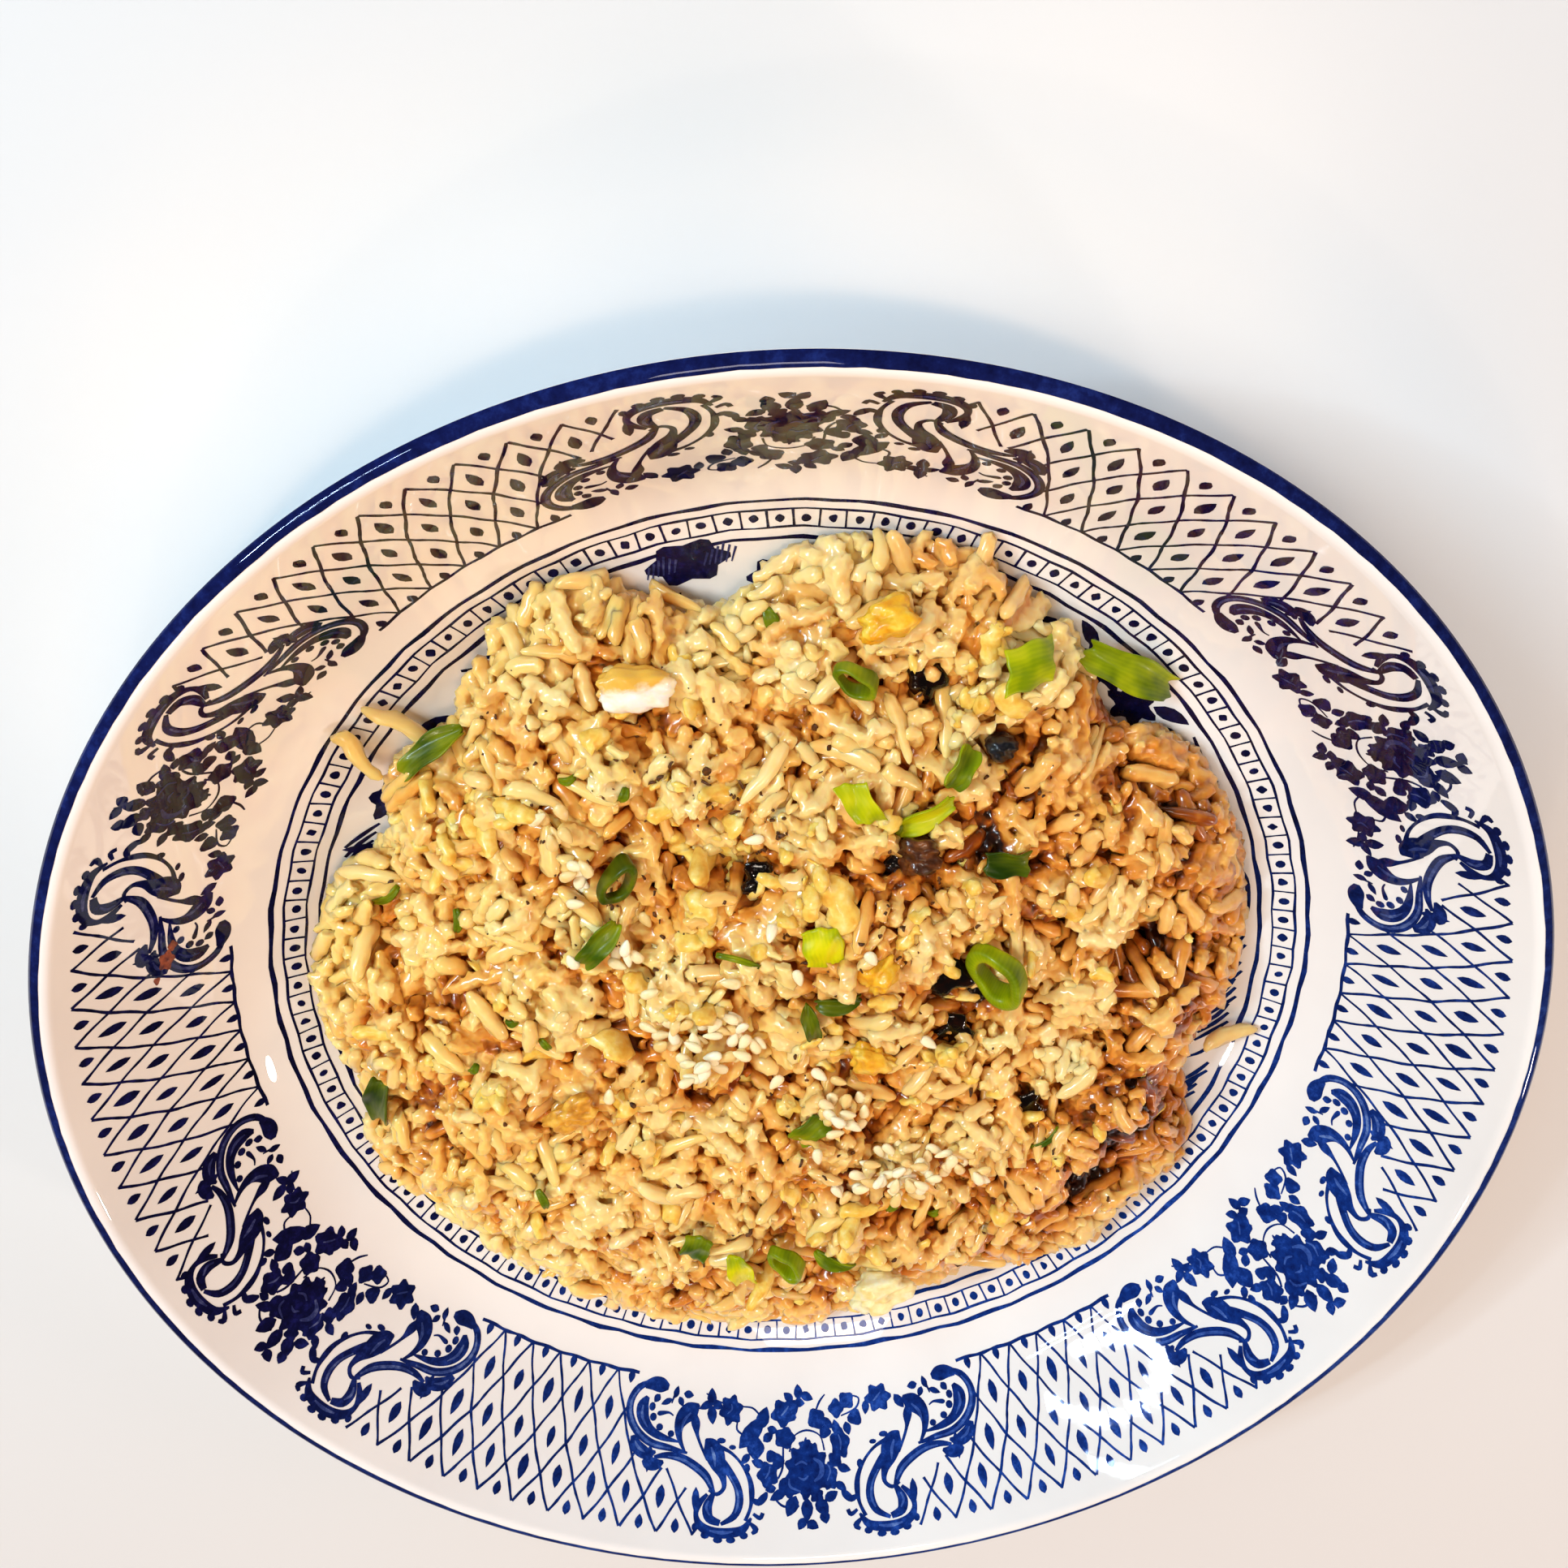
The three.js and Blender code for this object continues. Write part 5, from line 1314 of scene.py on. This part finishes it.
# Slivers of leaf between the grains: place, length, width and turn.
SLIVERS = (
    (-70.6, 31.5, 6, 1.3, 30), (-57.5, 29, 5, 1.2, 80), (-49, 21, 4, 1.6, 10), (-51, -31, 5, 1.4, 100),
    (15.6, -40, 5, 1.4, 70), (24, -50, 3, 1.4, 20), (-50.6, 10, 2.5, 1.2, 0), (-59, 0.6, 2.5, 1.2, 45),
    (-25, 54, 3, 1.3, 60), (45.6, -29, 7, 0.8, 40), (1.5, 78, 4.5, 2.4, 100), (-9, 22, 8, 0.8, 155),
    (-45, 6, 3, 1, 120), (-34, 57, 3, 1.2, 10), (20, 42, 3, 1, 70),
)
SLIVER_THICKNESS = 0.45
bm = bmesh.new()
for x, y, long, wide, turn in SLIVERS:
    seat = read_grid(laid, x, y) + 0.3
    c, s = math.cos(math.radians(turn)), math.sin(math.radians(turn))
    for vert in bmesh.ops.create_grid(bm, x_segments=8, y_segments=3, size=1)["verts"]:
        u, v, _ = vert.co
        a, b = u * long / 2, v * wide / 2 * (1 - 0.6 * u * u) + 0.1 * long * u * u
        vert.co = (x + a * c - b * s, y + a * s + b * c, seat + 0.8 * (1 - u * u) + 0.3 * v * v)
layer = bm.loops.layers.uv.new("leaf")
for loop in [loop for face in bm.faces for loop in face.loops]:
    loop[layer].uv = loop.vert.co.xy
bmesh.ops.solidify(bm, geom=list(bm.faces), thickness=SLIVER_THICKNESS)
bmesh.ops.recalc_face_normals(bm, faces=bm.faces)
add_piece("onion_slivers", bm, leaf_paints["middle"])


# ---- Egg and browned bits ----
# Scrambled egg, broken up in the pan: porous, moist yellow curds with torn edges and a piece of set white. With them
# lie a browned lump and a black bean.
# A curd has a slot, a height, a roughness of shape, a gloss, and its dark, middle and pale colours.
CURDS = {
    "egg_white": ("egg", 5.0, 0.65, 0.5, "#fbeecb", "#fff9ea", "#fffdf6"),
    "egg_yolk_upper": ("egg", 4.0, 1.0, 0.5, "#e39a12", "#f2bd2a", "#fbdc5c"),
    "egg_yolk_centre": ("egg", 4.0, 1.0, 0.5, "#d88f10", "#eeb526", "#fbd858"),
    "egg_flake_lower": ("egg", 3.2, 1.0, 0.5, "#dd9116", "#f0b62f", "#f9d564"),
    "egg_pale_lower": ("egg", 6.0, 1.0, 0.5, "#ecd184", "#f9e8ae", "#fff6d6"),
    "egg_brown_left": ("egg", 3.6, 1.0, 0.5, "#a8641a", "#dd9d2e", "#f2c558"),
    "brown_lump_upper": ("browned_bit", 4.6, 1.0, 0.7, "#1d0a02", "#4a220a", "#80481a"),
    "black_bean": ("black_bean", 4.2, 0.5, 0.5, "#050508", "#0e0f16", "#1c1d27"),
}
FLAT_UNDER = 0.55  # a curd's ball is cut flat this far under its middle


def curd_paint(name, codes, gloss=0.4, skin_from=None):
    """Set egg, or a browned bit: pored every 2 mm, moist, a little see-through; skin_from is where yolk covers it."""
    material, tree, shader, where = new_material(
        name,
        Roughness=0.4,
        Subsurface_Weight=0.4,
        Subsurface_Scale=0.0014,
        Subsurface_Radius=(1, 0.7, 0.25),
        Coat_Weight=gloss,
        Coat_Roughness=0.15,
    )
    pores = add_node(tree, "TexNoise", Vector=where, Scale=420.0, Detail=3.0)
    ramp = {"ramp": list(zip((0.3, 0.52, 0.72), codes))}
    colour = add_node(tree, "ValToRGB", ramp, shader.inputs["Base Color"], Fac=pores)
    if skin_from is not None:
        place = add_node(tree, "SeparateXYZ", Vector=where)
        wavy = add_node(tree, "Math", {"operation": "MULTIPLY_ADD"}, i0=pores, i1=0.004, i2=place.outputs["Y"])
        span = {"i1": (skin_from + 1.6) * MM, "i2": (skin_from + 2.8) * MM}
        over = add_node(tree, "MapRange", Value=wavy, **span)
        skin = srgb("#eab748")
        add_node(tree, "Mix", {"data_type": "RGBA"}, shader.inputs["Base Color"], i0=over, i6=colour, i7=skin)
    add_node(tree, "Bump", {}, shader.inputs["Normal"], Strength=0.5, Distance=0.0005, Height=pores)
    return material


for node, (slot, tall, rough, gloss, *codes) in CURDS.items():
    long, wide, turn = LAID[node]
    bm = bmesh.new()
    bmesh.ops.create_icosphere(bm, subdivisions=4, radius=1)
    phase = rng.uniform(0, 6.28, 6)
    for vert in bm.verts:
        x, y, z = vert.co
        swell = 0.16 * math.sin(3.1 * x + phase[0]) + 0.14 * math.sin(4.3 * y + phase[1])
        swell += 0.1 * math.sin(5 * z + phase[2])
        tears = 0.09 * math.sin(8 * x + 6 * y + phase[3]) + 0.07 * math.sin(11 * y - 9 * z)
        swell += tears + 0.05 * math.sin(15 * z + 12 * x)
        k = 1 + rough * swell
        z = max(-FLAT_UNDER, z * k)
        vert.co = (x * k * long / 2, y * k * wide / 2, (z + FLAT_UNDER) * tall / (1 + FLAT_UNDER))
    bmesh.ops.recalc_face_normals(bm, faces=bm.faces)
    seat_piece(bm, node, turn)
    skin_from = box_of(node)[1] + 0.8 if node == "egg_white" else None
    add_piece(node + "_piece", bm, curd_paint(node + "_moist", codes, gloss, skin_from), node)


def scattered(patches, inset):
    """Random places in the patches, each a place, a spread and a number, that lie within the heap."""
    places = np.concatenate([rng.normal((x, y), spread / 2, (number, 2)) for x, y, spread, number in patches])
    return places[np.hypot(*places.T) < heap_edge(np.arctan2(places[:, 1], places[:, 0])) - inset]


# Small curds all over the heap, thickest where the egg was broken up.
CURD_PATCHES = (
    (-50, 50, 12, 9), (-14, 45, 10, 8), (34, 62, 14, 10), (9, -47, 12, 8), (32, 32, 9, 6), (-12, 32, 8, 5),
    (6, 34, 8, 6), (-60, 40, 10, 6), (6, 3, 10, 7), (-20, 62, 12, 6), (-60, -5, 14, 7), (-30, -20, 18, 9),
    (25, -10, 14, 6), (55, -25, 14, 7), (-10, -60, 16, 8), (40, 20, 16, 6), (0, 0, 80, 60),
)
places = scattered(CURD_PATCHES, 5)
places = places[~read_grid(beds, *places.T)]
n = len(places)
crumb_sizes = np.stack([rng.uniform(*span, n) for span in ((2.2, 6.2), (1.8, 4.4), (1.4, 3.0))], 1)
seat = np.minimum(read_grid(laid, *places.T), read_grid(bridged, *places.T) - 0.6)
crumb_shapes = [grain_shape(9, 8, 0.13) for _ in range(6)]
mesh = joined_copies(
    "egg_crumbs",
    crumb_shapes,
    rng.integers(0, len(crumb_shapes), n),
    frames_along(rng.normal(size=(n, 3))),
    crumb_sizes,
    np.column_stack([places, seat - 0.5]),
    lambda verts, marks: rng.random((n, 3))[marks],
)
add_piece("egg_crumbs", mesh, curd_paint("egg_crumbs_moist", ("#e8ae38", "#f6cf62", "#fce69a")))

# Specks of ground pepper on the grains: dull dark grit, its colour broken up every 0.7 mm.
SPECK_PATCHES = (
    (-6, 45, 12, 60), (-20, 56, 14, 40), (-45, 62, 14, 30), (18, 24, 16, 40), (-26, 30, 14, 35), (0, 0, 110, 260),
    (40, 45, 16, 25), (-10, -35, 24, 30), (45, -30, 20, 25),
)
PEPPER_BROWNS = (0.3, "#2a1205"), (0.7, "#6e4018")
places = scattered(SPECK_PATCHES, 3)
n = len(places)
size = rng.uniform(0.3, 0.85, n)
pepper_paint, tree, shader, where = new_material("ground_black_pepper", Roughness=0.55)
grit = add_node(tree, "TexNoise", Vector=where, Scale=1500.0)
add_node(tree, "ValToRGB", {"ramp": PEPPER_BROWNS}, shader.inputs["Base Color"], Fac=grit)
speck_shapes = [grain_shape(5, 4, 0.2) for _ in range(3)]
mesh = joined_copies(
    "pepper_specks",
    speck_shapes,
    rng.integers(0, len(speck_shapes), n),
    frames_along(rng.normal(size=(n, 3))),
    np.stack([size, size * 0.8, size * 0.6], 1),
    np.column_stack([places, read_grid(laid, *places.T) + 0.05]),
    lambda verts, marks: rng.random((n, 3))[marks],
)
add_piece("pepper_specks", mesh, pepper_paint)


# ---- Floor and light ----
# A pale table under a ring lamp at the near left, seen as a broken ring in the glaze, with warm lamps at the far side
# and the right, and cool light from the near side.
bm = bmesh.new()
bmesh.ops.create_grid(bm, x_segments=1, y_segments=1, size=2500)
floor_mesh = mesh_of(bm, "floor")
floor_mesh.materials.append(new_material("pale_table", Roughness=0.75, Base_Color=srgb("#dddfe1"))[0])
floor = bpy.data.objects.new("floor", floor_mesh)
floor.location.z = -0.0002
scene.collection.objects.link(floor)

scene.world = bpy.data.worlds.new("soft_room")
scene.world.use_nodes = True
background = scene.world.node_tree.nodes["Background"]
background.inputs["Color"].default_value = srgb("#fff0e0")
background.inputs["Strength"].default_value = 0.04

LAMP_AWAY = 1.1  # metres from the plate to each area lamp
AIM = Vector((0, 0, 0.02))
COOL, WARM = "#d6efff", "#ffcf9c"


def add_lamp(name, kind, place, power, colour, mirrored, **settings):
    """A lamp in its place, with its settings; mirrored says if the glaze shows it."""
    data = bpy.data.lights.new(name, kind)
    data.energy = power
    data.color = srgb(colour)[:3]
    for key, value in settings.items():
        setattr(data, key, value)
    lamp = bpy.data.objects.new(name, data)
    lamp.location = place
    lamp.visible_glossy = mirrored
    scene.collection.objects.link(lamp)
    return lamp


def add_panel(name, way, power, colour, size, mirrored=True, **settings):
    """An area lamp that shines on the plate from a direction."""
    place = Vector(way).normalized() * LAMP_AWAY + AIM
    lamp = add_lamp(name, "AREA", place, power, colour, mirrored, size=size, **settings)
    lamp.rotation_mode = "QUATERNION"
    lamp.rotation_quaternion = (AIM - place).to_track_quat("-Z", "Y")


for name, way, power, colour in (
    ("key", (-0.65, 0.5, 0.62), 0.7, "#c4eaff"),
    ("key_above", (-0.42, 0.32, 0.85), 3.0, "#dcf3ff"),
    ("near_left", (-0.35, 0.85, 0.45), 2.2, "#d4f2ff"),
    ("near_right", (0.6, 0.7, 0.5), 1.0, "#8fcbff"),
    ("far_right", (0.38, -0.62, 0.74), 1.0, "#ddeaff"),
    ("far_right_low", (0.55, -0.66, 0.58), 1.5, "#ffe9d8"),
    ("right", (0.9, 0.2, 0.45), 3.0, "#ffceac"),
    ("far", (-0.32, -0.64, 0.92), 2.8, "#ffb058"),
    ("above", (0, 0, 1), 2.2, "#ffd29c"),
):
    add_panel("soft_" + name, way, power, colour, 0.45, False, shape="SQUARE")

# The ring lamp: short strips on a slanted oval about the key direction, with a gap, and a streak above them.
RING_STRIPS, RING_START, RING_STEP = 17, 25, 16.25  # degrees
RING_WIDE, RING_TALL, RING_SLANT = 0.147, 0.031, 0.17
strip = dict(shape="RECTANGLE", size_y=0.012)
key = Vector((-0.63, 0.49, 0.6)).normalized()
across = key.cross(Vector((0, 0, 1))).normalized()
upward = across.cross(key)
for k in range(RING_STRIPS):
    turn = math.radians(RING_START + RING_STEP * k)
    sideways = RING_WIDE * math.cos(turn)
    way = key + across * (sideways - 0.003) + upward * (0.033 + RING_SLANT * sideways + RING_TALL * math.sin(turn))
    add_panel("ring_lamp_%d" % k, way, 0.36, COOL, 0.036, **strip)
add_panel("rim_lamp", key + upward * 0.112, 0.4, COOL, 0.2, **strip)
add_panel("sheen_lamp", (0, 0.12, 1), 1.6, "#fff2e2", 0.2, shape="SQUARE")
add_panel("small_lamp", (-0.27, -0.47, 0.84), 0.5, "#fff0dc", 0.03, shape="SQUARE")
add_panel("side_lamp", (0.66, -0.57, 0.5), 1.4, "#fff0e5", 0.06, shape="DISK")

# Spots on the table beside the plate open up its shadow at the near side.
SPOT_R, SPOT_HEIGHT = 0.14, 0.6
for degrees, power in ((68, 3.2), (92, 1.6), (116, 2.0), (140, 1.6)):
    turn = math.radians(degrees)
    place = (SPOT_R * math.cos(turn), SPOT_R * math.sin(turn), SPOT_HEIGHT)
    beam = dict(spot_size=math.radians(11), spot_blend=1.0, shadow_soft_size=0.02)
    add_lamp("near_spot_%d" % degrees, "SPOT", place, power, WARM, False, **beam)

scene.view_settings.view_transform = "Standard"
